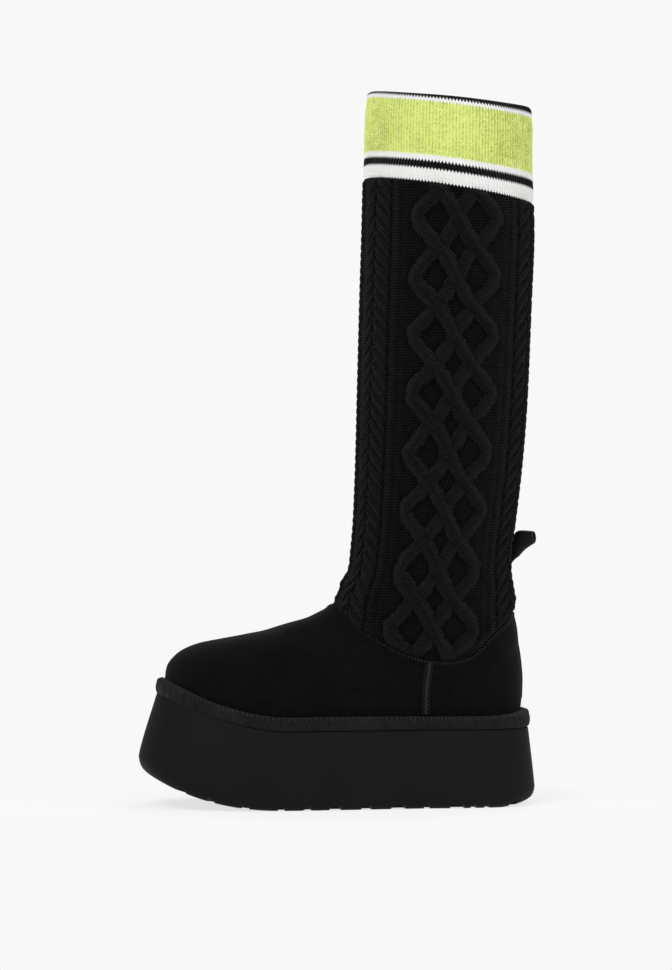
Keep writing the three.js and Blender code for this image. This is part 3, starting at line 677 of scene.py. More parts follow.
def stitch_group():
    """A node group that sets one stitch on each point, turned by the point's own two directions."""
    group = bpy.data.node_groups.new("Stitch row", "GeometryNodeTree")
    taken = {
        "Geometry": "Geometry", "Stitch": "Object", "Thread": "Material", "Slack": "Float", "Seed": "Int",
    }
    for name, kind in taken.items():
        group.interface.new_socket(name, in_out="INPUT", socket_type="NodeSocket" + kind)
    group.interface.new_socket("Geometry", in_out="OUTPUT", socket_type="NodeSocketGeometry")
    nodes, links = group.nodes, group.links

    def node(kind, inputs=None, **settings):
        made = nodes.new(kind)
        for key, value in settings.items():
            setattr(made, key, value)
        for key, value in (inputs or {}).items():
            if hasattr(value, "is_output"):
                links.new(value, made.inputs[key])
            else:
                made.inputs[key].default_value = value
        return made

    given = node("NodeGroupInput")
    shape = node("GeometryNodeObjectInfo", {"Object": given.outputs["Stitch"]})
    points = node("GeometryNodeMeshToPoints", {"Mesh": given.outputs["Geometry"]})
    run = node("GeometryNodeInputNamedAttribute", {"Name": "run"}, data_type="FLOAT_VECTOR")
    rise = node("GeometryNodeInputNamedAttribute", {"Name": "rise"}, data_type="FLOAT_VECTOR")
    turn = node("FunctionNodeAxesToRotation", {
        "Primary Axis": rise.outputs["Attribute"], "Secondary Axis": run.outputs["Attribute"],
    }, primary_axis="Z", secondary_axis="X")
    low = node("ShaderNodeMath", {0: 1.0, 1: given.outputs["Slack"]}, operation="SUBTRACT")
    high = node("ShaderNodeMath", {0: 1.0, 1: given.outputs["Slack"]}, operation="ADD")
    # This node's float sockets stand after its vector ones
    size = node("FunctionNodeRandomValue", {
        2: low.outputs[0], 3: high.outputs[0], "Seed": given.outputs["Seed"],
    }, data_type="FLOAT")
    placed = node("GeometryNodeInstanceOnPoints", {
        "Points": points.outputs["Points"], "Instance": shape.outputs["Geometry"],
        "Rotation": turn.outputs["Rotation"], "Scale": size.outputs[1],
    })
    real = node("GeometryNodeRealizeInstances", {"Geometry": placed.outputs["Instances"]})
    painted = node("GeometryNodeSetMaterial", {
        "Geometry": real.outputs["Geometry"], "Material": given.outputs["Thread"],
    })
    sink = nodes.new("NodeGroupOutput")
    links.new(painted.outputs["Geometry"], sink.inputs["Geometry"])
    return group


def stitches(name, places, run, rise, stitch, thread, slot, slack, seed):
    """A piece made of one copy of a stitch at each place in mm, after which the stitch is taken away."""
    group = bpy.data.node_groups.get("Stitch row") or stitch_group()
    mesh = bpy.data.meshes.new(name + "_points")
    mesh.from_pydata((np.asarray(places) * MM).tolist(), [], [])
    for key, values in (("run", run), ("rise", rise)):
        data = mesh.attributes.new(key, "FLOAT_VECTOR", "POINT").data
        data.foreach_set("vector", np.ascontiguousarray(values, dtype=np.float32).ravel())
    carrier = add(name + "_points", mesh)
    modifier = carrier.modifiers.new("Stitch row", "NODES")
    modifier.node_group = group
    values = {"Stitch": stitch, "Thread": thread, "Slack": slack, "Seed": seed}
    for item in group.interface.items_tree:
        if item.in_out == "INPUT" and item.name in values:
            modifier[item.identifier] = values[item.name]
    graph = bpy.context.evaluated_depsgraph_get()
    made = bpy.data.meshes.new_from_object(carrier.evaluated_get(graph), depsgraph=graph)
    made.name = name
    bpy.data.objects.remove(carrier)
    bpy.data.objects.remove(stitch)
    declare(add(name, made), slot)


class BootSizes(bpy.types.PropertyGroup):
    """Sizes of the surface detail, in millimetres"""

    cable_height: bpy.props.FloatProperty(
        name="Cable height", description="How far a strand stands up", default=3.0)
    strand_width: bpy.props.FloatProperty(
        name="Strand width", description="Width of a cable strand", default=10.2)
    plait_height: bpy.props.FloatProperty(
        name="Plait height", description="How far a plait stands up", default=3.4)
    plait_pitch: bpy.props.FloatProperty(
        name="Plait pitch", description="Height of one chevron", default=10.1)
    rib_pitch: bpy.props.FloatProperty(
        name="Rib pitch", description="Width of one rib of the cuff", default=2.2)
    rib_height: bpy.props.FloatProperty(
        name="Rib height", description="Depth between the ribs", default=0.55)
    crease_depth: bpy.props.FloatProperty(
        name="Crease depth", description="Depth of the suede's creases", default=0.9)
    stitch_pitch: bpy.props.FloatProperty(
        name="Stitch pitch", description="Step of the band's stitches", default=2.8)
    edge_pitch: bpy.props.FloatProperty(
        name="Edge pitch", description="Step of the edge's stitches", default=1.9)


class BootColours(bpy.types.PropertyGroup):
    """Base colours of the boot, as linear light"""

    suede: bpy.props.FloatVectorProperty(
        name="Suede", description="Suede of the foot", subtype="COLOR", default=(0.0026, 0.0026, 0.0027))
    band: bpy.props.FloatVectorProperty(
        name="Band", description="Band round the sole", subtype="COLOR", default=(0.0095, 0.0093, 0.0095))
    foam: bpy.props.FloatVectorProperty(
        name="Foam", description="Platform sole", subtype="COLOR", default=(0.0046, 0.0046, 0.0045))
    knit: bpy.props.FloatVectorProperty(
        name="Knit", description="Knit leg", subtype="COLOR", default=(0.0024, 0.0023, 0.0024))
    lime: bpy.props.FloatVectorProperty(
        name="Lime", description="Wide stripe of the cuff", subtype="COLOR", default=(0.82, 0.92, 0.27))
    white: bpy.props.FloatVectorProperty(
        name="White", description="White stripes of the cuff", subtype="COLOR", default=(0.95, 0.95, 0.94))
    black: bpy.props.FloatVectorProperty(
        name="Black", description="Black stripes of the cuff", subtype="COLOR",
        default=(0.004, 0.004, 0.004))
    ribbon: bpy.props.FloatVectorProperty(
        name="Ribbon", description="Pull loop", subtype="COLOR", default=(0.004, 0.004, 0.0045))
    thread: bpy.props.FloatVectorProperty(
        name="Thread", description="Sewing thread", subtype="COLOR", default=(0.0045, 0.0045, 0.0045))
    fleece: bpy.props.FloatVectorProperty(
        name="Fleece", description="Pile of the insole", subtype="COLOR", default=(0.016, 0.016, 0.017))


class BootStage(bpy.types.PropertyGroup):
    """Camera and light of the studio"""

    turn: bpy.props.FloatProperty(
        name="Camera turn", description="Azimuth of the camera in degrees", default=174.0)
    distance: bpy.props.FloatProperty(
        name="Camera distance", description="From the leg to the camera", default=2.47, unit="LENGTH")
    lens: bpy.props.FloatProperty(name="Lens", description="Focal length in millimetres", default=130.0)
    centre: bpy.props.FloatVectorProperty(
        name="Centre", description="Where the camera looks", default=(0.1015, 0.0, 0.225), subtype="XYZ")


class BOOT_OT_sole(bpy.types.Operator):
    """Builds the platform sole with its lugs"""

    bl_idname = "boot.sole"
    bl_label = "Platform sole"

    AROUND = 720
    # Rings of the underside: shares of the way out from its middle, then mm in from the edge
    UNDER_SHARES = (0, 0.25, 0.5, 0.7, 0.85)
    UNDER_INSETS = (14.6, 14.0, 11.0, 8.0)
    # The rounded lower edge, in and up as shares of its rounding
    EDGE = ((0.625, 0.0), (0.3625, 0.1), (0.1625, 0.325), (0.05, 0.625), (0.0, 1.0))
    SIDE_LEVELS = np.linspace(0.2, 1, 15)
    TOP_INSETS = (0.5, 2.0, 9.0)
    GROOVE_HALF = 1.8
    GROOVE_REACH = 0.22 * BALL_WIDTH

    def execute(self, context):
        turn = np.arange(self.AROUND) / self.AROUND
        full = sole_reach(turn, 1.0)
        gap = self.gaps(turn)
        rings = []
        x, y = outline(turn, full - self.UNDER_INSETS[0])
        for share in self.UNDER_SHARES:
            rings.append(self.under(x, TREAD_MIDDLE + (y - TREAD_MIDDLE) * share, 0 * gap))
        for inset in self.UNDER_INSETS:
            x, y = outline(turn, full - inset)
            rings.append(self.under(x, y, gap * (inset < self.UNDER_INSETS[0])))
        for inset, lift in self.EDGE:
            x, y = outline(turn, full - inset * EDGE_ROUND)
            low = tread_height(x)
            cut = low + gap * (LUG_DEPTH + 0.02 * lift * EDGE_ROUND)
            rings.append(np.stack([x, y, np.maximum(low + lift * EDGE_ROUND, cut)], -1))
        for up in self.SIDE_LEVELS:
            x, y = outline(turn, sole_reach(turn, read(SOLE_SIDE, up)))
            low = tread_height(x)
            rings.append(np.stack([x, y, low + (sole_top(x) - low) * up - 0.5 * (up > 0.99)], -1))
        for inset in self.TOP_INSETS:
            x, y = outline(turn, sole_reach(turn, 0) - inset)
            rings.append(np.stack([x, y, sole_top(x) - 0.02], -1))
        points = np.stack(rings)
        material = foam_finish("sole_foam", colours().foam)
        piece = mesh_piece("foam_sole", points, grid_faces(len(rings), self.AROUND), material)
        declare(piece, "sole_foam", "platform_sole")
        return {"FINISHED"}

    @staticmethod
    def gaps(turn):
        """1 in the columns that stand over a gap between two lugs, 0 in the others."""
        x, y = outline(turn)
        gap = np.zeros(len(turn))
        for at, wide in LUG_GAPS:
            for middle in (at / 2, 1 - at / 2):
                middle_x, middle_y = outline(np.array([middle]))
                away = np.hypot(x - middle_x, y - middle_y)
                gap = np.maximum(gap, 1 - smooth(wide / 2 - 0.3, wide / 2 + 0.3, away))
        return gap

    def under(self, x, y, gap):
        """A ring of the tread, lifted in the gaps and in the cross grooves."""
        inside = np.abs(y - TREAD_MIDDLE) < self.GROOVE_REACH
        groove = np.zeros_like(x)
        for at in CROSS_GROOVES:
            away = np.abs(share_along(x) - at) * FOOT_LENGTH
            cut = 1 - smooth(self.GROOVE_HALF, self.GROOVE_HALF + 0.5, away)
            groove = np.maximum(groove, inside * cut)
        return np.stack([x, y, tread_height(x) + LUG_DEPTH * np.maximum(gap, groove)], -1)


class BOOT_OT_band(bpy.types.Operator):
    """Builds the suede-bound band on the edge of the sole, with its whipped thread"""

    bl_idname = "boot.band"
    bl_label = "Bound band"

    # Its section from the lower inner corner round the outside: step, share out, share up
    SECTION = [
        (0, 0.06, 0), (1, 0.42, 0), (2, 0.78, 0.03), (3, 0.96, 0.2), (4, 1, 0.47), (5, 0.88, 0.74),
        (6, 0.62, 0.93), (7, 0.3, 1), (8, 0.06, 0.94), (9, 0, 0.7), (10, 0, 0.3), (11, 0.06, 0),
    ]
    # Where the thread goes in on top and comes out at the side, as shares out and up
    THREAD_IN, THREAD_OUT = (0.42, 1.0), (0.94, 0.66)

    def execute(self, context):
        count, steps = 640, 33
        turn = np.arange(count) / count
        reach = sole_reach(turn, 0) + BAND_PROUD
        # Small puckers drawn in by the thread
        wave = 0.2 * np.sin(2 * np.pi * turn * 83 + 2 * np.sin(2 * np.pi * turn * 19))
        rings = []
        for step in np.linspace(0, 11, steps + 1):
            across, up = read(self.SECTION, step, 1), read(self.SECTION, step, 2)
            x, y = outline(turn, GAP + (reach - GAP) * across + wave * across)
            rings.append(np.stack([x, y, self.height(turn, up)], -1))
        points = np.stack(rings)
        material = suede_finish("band_suede", colours().band, 1.6)
        piece = mesh_piece("bound_band", points, grid_faces(steps + 1, count), material)
        declare(piece, "band_suede", "welt_band")
        self.whip()
        return {"FINISHED"}

    def whip(self):
        """Thread whipped over the top of the band."""
        number = int(BAND_LENGTH / sizes().stitch_pitch)
        at = (np.arange(number) + 0.5) / number
        reach = sole_reach(at, 0) + BAND_PROUD
        ends = []
        for place, (out, up) in ((at, self.THREAD_IN), (at + 0.0012, self.THREAD_OUT)):
            x, y = outline(place, reach * out)
            ends.append(np.stack([x, y, self.height(at, up)], -1))
        middle, run = (ends[0] + ends[1]) / 2, unit(ends[1] - ends[0])
        away = np.subtract(outline(at, 1.0), outline(at))
        rise = np.stack([away[0], away[1], np.ones(number)], -1)
        stitch = stitch_mesh("band_stitch_shape", length=4.0, radius=0.42, arch=0.8)
        thread = thread_finish("band_thread", colour(colours().thread, 2.8))
        middle = middle + 0.1 * rise
        stitches("band_stitches", middle, run, rise, stitch, thread, "band_suede", slack=0.1, seed=5)

    @staticmethod
    def height(turn, up):
        """Height of a share of the band's own height."""
        x, _ = outline(turn)
        return sole_top(x) + GAP + BAND_HEIGHT * read(BAND_ALONG, share_along(x)) * up


class BOOT_OT_suede(bpy.types.Operator):
    """Builds the suede foot with its creases and its whipped top edge"""

    bl_idname = "boot.suede"
    bl_label = "Suede foot"

    # Soft troughs: column at the middle, level at the middle, half-length in columns,
    # half-width in levels, slant, depth as a share of the crease depth
    CREASES = [
        (0.0, 0.86, 6.5, 0.035, 0.0, 0.55), (1.5, 0.74, 5.0, 0.04, 0.012, 0.6),
        (7.5, 0.66, 4.0, 0.06, 0.03, 0.8), (9.5, 0.42, 3.5, 0.07, -0.03, 0.55),
        (44.5, 0.66, 4.0, 0.06, -0.03, 0.8), (42.5, 0.42, 3.5, 0.07, 0.03, 0.55),
        (20.0, 0.55, 4.5, 0.07, 0.02, 0.6), (32.0, 0.55, 4.5, 0.07, -0.02, 0.6),
        (4.5, 0.5, 3.0, 0.08, 0.03, 0.45), (47.5, 0.5, 3.0, 0.08, -0.03, 0.45),
    ]

    def relief(self, turn, level):
        """Creases, slow slumps, and the low ridge of the back seam."""
        column = turn * COLUMNS
        out = np.zeros(np.broadcast(turn, level).shape)
        for middle, height, half_length, half_width, slant, depth in self.CREASES:
            away = (column - middle + COLUMNS / 2) % COLUMNS - COLUMNS / 2
            across = (level - height - slant * away) / half_width
            # A trough with a low ridge above it
            trough = np.exp(-across**2) - 0.45 * np.exp(-((across - 1.7) ** 2))
            out = out - sizes().crease_depth * depth * trough * np.exp(-((away / half_length) ** 2))
        slump = np.sin(2 * np.pi * 7 * turn + level * 9) * np.sin(2 * np.pi * 3 * turn - level * 5 + 1)
        hold = smooth(0.1, 0.25, level) * (1 - smooth(0.9, 0.97, level))
        back = np.abs(column - COLUMNS / 2)
        stay = 0.7 * (1 - smooth(0.55, 0.8, back)) - 0.35 * np.exp(-((back - 0.95) / 0.12) ** 2)
        return (out + 0.35 * slump) * hold + stay * smooth(0.16, 0.2, level)

    def execute(self, context):
        count, rows, inner_rows = 416, 100, 22
        turn = (np.arange(count) / count)[None, :]
        level = np.linspace(0, 1, rows)[:, None]
        relief = self.relief(turn, level)
        outer, _ = suede_at(turn, level, relief)
        # The stitched edge rolls outwards just below the seam
        drop = seam(turn)[2] - outer[..., 2]
        bead = 1.1 * np.exp(-((drop - 1.7) / 1.5) ** 2) * (level > 0.8)
        outer, _ = suede_at(turn, level, relief + bead)
        rim = np.stack([np.stack(seam(turn[0], out), -1) for out in (0.7, -0.6, -SUEDE_WALL)])
        rim[1, :, 2] += 0.15
        inner_level = np.linspace(0.97, 0.03, inner_rows)[:, None]
        inner, _ = suede_at(turn, inner_level, np.full((inner_rows, count), -SUEDE_WALL))
        points = np.concatenate([outer[:-1], rim, inner])
        material = suede_finish("suede", colours().suede)
        piece = mesh_piece("suede_foot", points, grid_faces(len(points), count), material)
        declare(piece, "suede", "suede_upper")
        self.whip()
        return {"FINISHED"}

    @staticmethod
    def whip():
        """Whip stitches over the top edge, aslant to the seam."""
        number = int(SEAM_LENGTH / sizes().edge_pitch)
        at = (np.arange(number) + 0.5) / number
        here = np.stack(seam(at, 1.15), -1) - (0, 0, 1.3)
        step = unit(np.stack(seam(at + 0.002), -1) - np.stack(seam(at - 0.002), -1))
        out = np.stack(seam(at, 1.0), -1) - np.stack(seam(at), -1)
        down = np.cross(step, out) + 0.75 * step
        stitch = stitch_mesh("edge_stitch_shape", length=2.7, radius=0.5, arch=0.36)
        thread = thread_finish("edge_thread", colours().thread)
        stitches("edge_stitches", here, down, out, stitch, thread, "suede", slack=0.1, seed=7)


class BOOT_OT_straps(bpy.types.Operator):
    """Builds the strap down each side of the suede, with its zigzag thread"""

    bl_idname = "boot.straps"
    bl_label = "Side straps"

    # Levels of the suede's rise where a strap begins and ends, and its thread
    FOOT, HEAD = 0.087, 0.95
    THREAD_FOOT, THREAD_HEAD = 0.11, 0.92
    # Column at the foot, and how many columns it leans for each unit of level
    START, LEAN = 13.62, 0.62 / 0.843

    def execute(self, context):
        rows, columns = 60, 13
        material = suede_finish("strap_suede", colour(colours().band, 0.68))
        thread = thread_finish("strap_thread", colour(colours().thread, 4.0))
        levels = np.linspace(self.FOOT, self.HEAD, rows)
        across = np.linspace(-1, 1, columns)
        crown = 0.35 + 1.15 * (1 - across[None, :] ** 4) + 0 * levels[:, None]
        faces = grid_faces(rows, columns, around=False)
        for node, sign in (("side_strap_outer", 1), ("side_strap_inner", -1)):
            middle = self.middle(levels, sign)
            beside = suede(middle + 0.01, levels) - suede(middle - 0.01, levels)
            wide = STRAP_WIDTH * 0.02 / np.linalg.norm(beside, axis=-1)
            turn = middle[:, None] + sign * across[None, :] * wide[:, None] / 2
            points, _ = suede_at(turn, levels[:, None], crown)
            piece = mesh_piece(node + "_cover", points, faces if sign < 0 else faces[:, ::-1], material)
            declare(piece, "suede", node)
            self.zigzag(node + "_zigzag", sign, thread)
        return {"FINISHED"}

    def middle(self, levels, sign):
        """Where a strap's middle line runs, in turns; it leans toward the toe as it rises."""
        column = self.START - self.LEAN * (levels - self.FOOT)
        return column / COLUMNS if sign > 0 else 1 - column / COLUMNS

    def zigzag(self, name, sign, thread):
        """Thread that crosses from side to side along the middle of a strap."""
        number, out = 30, 1.45
        levels = np.linspace(self.THREAD_FOOT, self.THREAD_HEAD, number)
        turn = self.middle(levels, sign)
        here, normal = suede_at(turn, levels, np.full(number, out))
        above, _ = suede_at(turn, levels + 0.01, np.full(number, out))
        upward = unit(above - here)
        slant = np.where(np.arange(number) % 2 == 0, 1.0, -1.0)[:, None]
        run = upward * 0.8 + np.cross(upward, normal) * slant
        stitch = stitch_mesh(name + "_shape", length=2.9, radius=0.36, arch=0.35)
        stitches(name, here, run, normal, stitch, thread, "suede", slack=0.08, seed=11)


class BOOT_OT_knit(bpy.types.Operator):
    """Builds the cable-knit leg: trellis of four strands at each side, plaits at front and back"""

    bl_idname = "boot.knit"
    bl_label = "Cable-knit leg"

    # Patterns at the front and the back: column in the middle, mm to a column there, half-width in mm
    PLAIT, ROPE, CORD = (4.1, 6.4, 12.3), (0.0, 6.2, 4.2), (6.85, 6.6, 3.4)
    # Kinds of knit: 0 is the ground, 1 to 4 are the strands
    PLAIT_KIND, ROPE_KIND = 5, 6
    # The lip inside the suede's edge and the foot of the knit: mm down, mm out
    LIP = ((2.2, -3.3), (0, -3.0), (0, -1.6), (0, 0.3))
    # The inner face's weave: mm to a column and to a row
    INNER_STEP = (2.3, 6.6)

    def trellis(self, side, row, z):
        """Height, owner and weave maps of four strands that cross over and under each other."""
        half_width = sizes().strand_width / 2
        paths = [zigzag(row + 2 + 4 * k) for k in range(4)]
        slopes = [
            (zigzag(row + 2.05 + 4 * k) - zigzag(row + 1.95 + 4 * k)) * 10 * COLUMN_PITCH / CABLE_STEP
            for k in range(4)
        ]
        best = np.zeros_like(z)
        owner = np.zeros(z.shape, int)
        maps = []
        for k in range(4):
            away = (side - paths[k]) * COLUMN_PITCH / np.sqrt(1 + slopes[k] ** 2)
            uneven = half_width * (1 + 0.06 * np.sin(2 * np.pi * z / 5.2 + 1.7 * k))
            body = dome(away / uneven) ** 0.8
            ply = 0.2 * np.sin(2 * np.pi * (z / 4.2 - away / 9.0)) * body
            # A rising strand dips where a falling one is close to it
            under = np.zeros_like(z)
            for j in range(4):
                close = np.clip(1 - np.abs(paths[k] - paths[j]) * COLUMN_PITCH / (2.6 * half_width), 0, 1)
                under = np.maximum(under, close * (slopes[j] < 0))
            dip = 0.55 * smooth(0, 0.8, under) * (slopes[k] > 0)
            lift = np.where(body > 0, sizes().cable_height * body * (1 - dip) + ply, 0)
            owner = np.where(lift > best, k + 1, owner)
            best = np.maximum(best, lift)
            maps.append(np.stack([away, z * 1.23], -1))
        return best, owner, maps

    @staticmethod
    def across(columns, pattern):
        """How far from a pattern's middle, in mm and as a share of its half-width."""
        middle, pitch, half_width = pattern
        away = (columns - middle) * pitch
        return away, away / half_width

    def relief(self, column, z):
        """Height in mm, kind of knit, and the weave map of every kind, at columns and heights."""
        side = np.where(column < COLUMNS / 2, column - COLUMNS / 4, 0.75 * COLUMNS - column)
        # Strands and rows wander a little, as knitting does
        row = (z + 0.45 * np.sin(column * 1.3 + z * 0.06) - CABLE_EYE_HEIGHT) / CABLE_STEP
        side = side + 0.07 * np.sin(z * 0.21 + 1.3 * side) + 0.05 * np.sin(z * 0.53 + 2)
        best, owner, strand_maps = self.trellis(side, row, z)
        maps = [np.stack([side * COLUMN_PITCH, z], -1)] + strand_maps
        # Shallow trough beside the strands, where the knit is drawn in
        best = best - 0.5 * (owner == 0) * (1 - smooth(4.3, 5.2, np.abs(side)))
        best = best + 0.25 * np.sin(z * 0.35 + column * 0.8) * np.sin(column * 2.1 - z * 0.12)
        from_front = np.minimum(column, COLUMNS - column)
        from_end = np.minimum(from_front, COLUMNS / 2 - from_front)
        # A plait of chevrons on each side of the rope strip
        away, share = self.across(from_end, self.PLAIT)
        plait = dome(share)
        phase = (z + np.abs(away) * 0.95) / sizes().plait_pitch
        lobe = np.abs(np.sin(np.pi * phase)) ** 0.75
        split = 1 - 0.5 * np.exp(-(away**2))
        rise = sizes().plait_height * (0.08 + 0.92 * lobe) * plait**0.4 * split
        owner = np.where(plait > 0, self.PLAIT_KIND, owner)
        best = np.where(plait > 0, rise, best)
        maps.append(np.stack([phase * 6.2, (z - np.abs(away)) * 0.8], -1))
        away, share = self.across(from_end, self.ROPE)
        rope = dome(share)
        rise = 1.9 * rope**0.5 * (0.55 + 0.45 * np.abs(np.sin(np.pi * (z / 5.5 + away / 9))) ** 0.7)
        owner = np.where(rope > 0, self.ROPE_KIND, owner)
        best = np.where(rope > 0, rise, best)
        maps.append(np.stack([away, z], -1))
        # A low cord beside each plait
        _, share = self.across(from_end, self.CORD)
        best = best + 0.8 * dome(share) * (0.75 + 0.25 * np.sin(z * 1.24))
        return best, owner, np.stack(maps)

    @staticmethod
    def edges(turn):
        """Heights of the knit's lower and upper edge."""
        return seam(turn)[2] + KNIT_FOOT, tilted(turn, LEG_TOP, LEG_TOP_TILT)

    def half(self, name, start, material):
        """One side of the leg, from its front or back middle line to the other."""
        columns, rows = 300, 300
        turn = np.linspace(start, start + 0.5, columns + 1)[None, :]
        low, high = self.edges(turn[0])
        z = low + (high - low) * np.linspace(0, 1, rows + 1)[:, None]
        column = np.broadcast_to(turn * COLUMNS, z.shape)
        lift, _, maps = self.relief(column, z)
        fade = smooth(-0.5, 5.0, z - low) * smooth(-0.5, 4.0, high - z)
        tuck = -0.9 * np.exp(-((high - z) / 1.2) ** 2)
        front = np.clip(np.cos(2 * np.pi * turn), 0, 1) ** 3
        # The knit swells above the seam, and folds over higher up in front
        bulge = (1.3 - 0.9 * front) * np.exp(-(((z - low) - 7.0) / 5.5) ** 2)
        bulge = bulge + 2.0 * front * np.exp(-(((z - low) - 15.5) / 5.2) ** 2)
        points = knit(np.broadcast_to(turn, z.shape), z, 0.4 + lift * fade + tuck + bulge)
        # Crests stand above the mean height about them, hollows below it; the knit's colour uses this for
        # painted shade in the hollows and a painted highlight on the crests
        mean = lift
        for axis, reach in ((0, 3), (1, 6)):
            mean = sum(np.roll(mean, step, axis) for step in range(-reach, reach + 1)) / (2 * reach + 1)
        crest = np.clip(0.5 + (lift - mean) / 1.6, 0, 1)
        # Each face takes the weave map of the knit in its own middle
        middle = (column[:-1, :-1] + column[1:, 1:]) / 2, (z[:-1, :-1] + z[1:, 1:]) / 2
        _, kinds, _ = self.relief(*middle)
        r, c = np.meshgrid(np.arange(rows), np.arange(columns), indexing="ij")
        uv = np.stack([
            maps[kinds, r, c], maps[kinds, r, c + 1], maps[kinds, r + 1, c + 1], maps[kinds, r + 1, c],
        ], 2)
        faces = grid_faces(rows + 1, columns + 1, around=False)
        return mesh_piece(name, points, faces, material, uv, (kinds > 0) & (kinds < self.ROPE_KIND), crest)

    def execute(self, context):
        material = knit_finish("cable_knit", colours().knit)
        declare(self.half("knit_outer_side", 0.0, material), "cable_knit", "knit_leg")
        declare(self.half("knit_inner_side", 0.5, material), "cable_knit")
        self.lining(material)
        return {"FINISHED"}

    def lining(self, material):
        """The knit's own inner face, from its top edge down to the lip."""
        count, rows = 156, 50
        turn = (np.arange(count) / count)[None, :]
        low, high = self.edges(turn[0])
        z = low + (high - low) * np.linspace(1, 0, rows)[:, None]
        back = knit(turn, z, -KNIT_WALL + 0.4)
        rim = np.stack([knit(turn[0], high, out) for out in (0.0, -1.6)])
        foot = np.stack([knit(turn[0], low - drop, out) for drop, out in self.LIP])
        points = np.concatenate([rim, back, foot])
        u, v = np.meshgrid(np.arange(count + 1.0), np.arange(float(len(points))))
        uv = grid_uv(u * self.INNER_STEP[0], v * self.INNER_STEP[1])
        faces = grid_faces(len(points), count)
        declare(mesh_piece("knit_inner_face", points, faces, material, uv), "cable_knit")


class BOOT_OT_cuff(bpy.types.Operator):
    """Builds the striped rib cuff with its rolled rim"""

    bl_idname = "boot.cuff"
    bl_label = "Striped cuff"

    # The wall from the knit up, over the rim and down inside: share of the rows, share up, mm out
    SECTION = [
        (0, 0, 0.25), (0.03, 0.06, 1.2), (0.1, 0.14, 1.15), (0.22, 0.3, 0.95), (0.5, 0.75, 1.2),
        (0.68, 0.9, 0.5), (0.75, 0.965, 0.25), (0.77, 0.985, -0.4), (0.785, 0.998, -1.3),
        (0.8, 1, -2.1), (0.815, 0.996, -3.0), (0.83, 0.97, -4.0), (0.9, 0.5, -4.2), (1, 0.0, -3.8),
    ]
    # The share of the rows at the top of the rim
    RIM = 0.8

    def execute(self, context):
        count, rows = 1100, 74
        ribs = round(CUFF_LENGTH / sizes().rib_pitch)
        turn = (np.arange(count) / count)[None, :]
        share = np.linspace(0, 1, rows)[:, None]
        up, out = read(self.SECTION, share, 1), read(self.SECTION, share, 2)
        low = tilted(turn[0], LEG_TOP, LEG_TOP_TILT) + 0.4
        facing = np.cos(2 * np.pi * turn)
        # The rim rises a little at its front and back ends
        high = tilted(turn[0], LEG_TOP + CUFF_HEIGHT, CUFF_TOP_TILT) + 2.4 * facing[0] ** 4
        crest = np.abs((turn * ribs) % 1 - 0.5) * 2
        rib = sizes().rib_height * crest**0.8
        outside = share < self.RIM
        # Each rib ends in a small scallop over the knit's top edge
        z = low + (high - low) * up - 1.7 * crest * (1 - smooth(0.0, 0.05, up)) * outside
        sag = 0.35 * np.sin(turn * 2 * np.pi * 5 + up * 4) * np.sin(np.pi * np.clip(up, 0, 1))
        reach = out + np.where(outside, rib - 0.3, -rib * 0.4) + sag * outside
        x, y, _ = leg(turn, z, reach)
        points = np.stack([x, y, z], -1)
        steps = np.arange(count + 1) / count * ribs
        u = np.broadcast_to(steps * sizes().rib_pitch, (rows, count + 1))
        # The upper stripes run wider toward the back
        climb = np.where(outside, up - 0.022 * facing * smooth(0.6, 0.9, up), 1.05)
        v = np.concatenate([climb, climb[:, :1]], 1)
        tones = {"lime": colours().lime, "white": colours().white, "black": colours().black}
        material = cuff_finish("striped_rib", tones)
        piece = mesh_piece("striped_cuff", points, grid_faces(rows, count), material, grid_uv(u, v))
        declare(piece, "striped_rib", "rib_cuff")
        return {"FINISHED"}


class BOOT_OT_ribbon(bpy.types.Operator):
    """Builds the ribbon loop behind the leg"""

    bl_idname = "boot.ribbon"
    bl_label = "Ribbon loop"

    # Along the ribbon's width from the knit: share, then height, thickness and rise of the loop in mm
    STATIONS = [(0, 15.0, 4.0, 0), (0.25, 17.5, 6.4, 5.6), (0.6, 13.0, 6.8, 8.6), (1, 8.5, 6.2, 9.8)]
    # The first share of the width, which is sewn to the leg and follows its face
    SEWN = 0.25
    # Length round the loop in mm, for its weave
    ROUND = 40.0

    def execute(self, context):
        axis = unit(np.array([-0.8, 0.58, 0.12]))
        side = unit(np.array([axis[1], -axis[0], 0.0]))
        upward = np.cross(axis, side)
        upward *= np.sign(upward[2])
        start = np.array([leg(0.5, RIBBON_HEIGHT, 2.4)[0], 0.0, RIBBON_HEIGHT])
        count, steps = 96, 24
        angle = 2 * np.pi * np.arange(count) / count
        rings = []
        for less, order in ((0.0, 1), (RIBBON_THICK, -1)):
            for share in np.linspace(0, 1, steps)[::order]:
                tall = read(self.STATIONS, share, 1) / 2 - less
                deep = read(self.STATIONS, share, 2) / 2 - less
                rise = read(self.STATIONS, share, 3)
                wave = 0.25 * np.sin(3 * angle + share * 5)
                place = (
                    start + axis * share * RIBBON_WIDTH
                    + upward * ((tall + wave) * np.cos(angle) + rise)[:, None]
                    + side * (deep * np.sin(angle))[:, None]
                )
                fold = max(0.0, 1 - share / self.SEWN)
                wall = leg(0.5 + 0 * angle, place[:, 2], 2.2)[0]
                place = place + axis * ((wall - place[:, 0]) / axis[0] * fold)[:, None]
                rings.append(place)
        rings.append(rings[0])
        points = np.stack(rings)
        u, v = np.meshgrid(np.arange(count + 1) / count, np.arange(len(rings)) / steps)
        uv = grid_uv(u * self.ROUND, v * RIBBON_WIDTH)
        material = ribbon_finish("ribbon", colours().ribbon)
        piece = mesh_piece("pull_ribbon", points, grid_faces(len(rings), count), material, uv)
        declare(piece, "ribbon", "ribbon_loop")
        return {"FINISHED"}


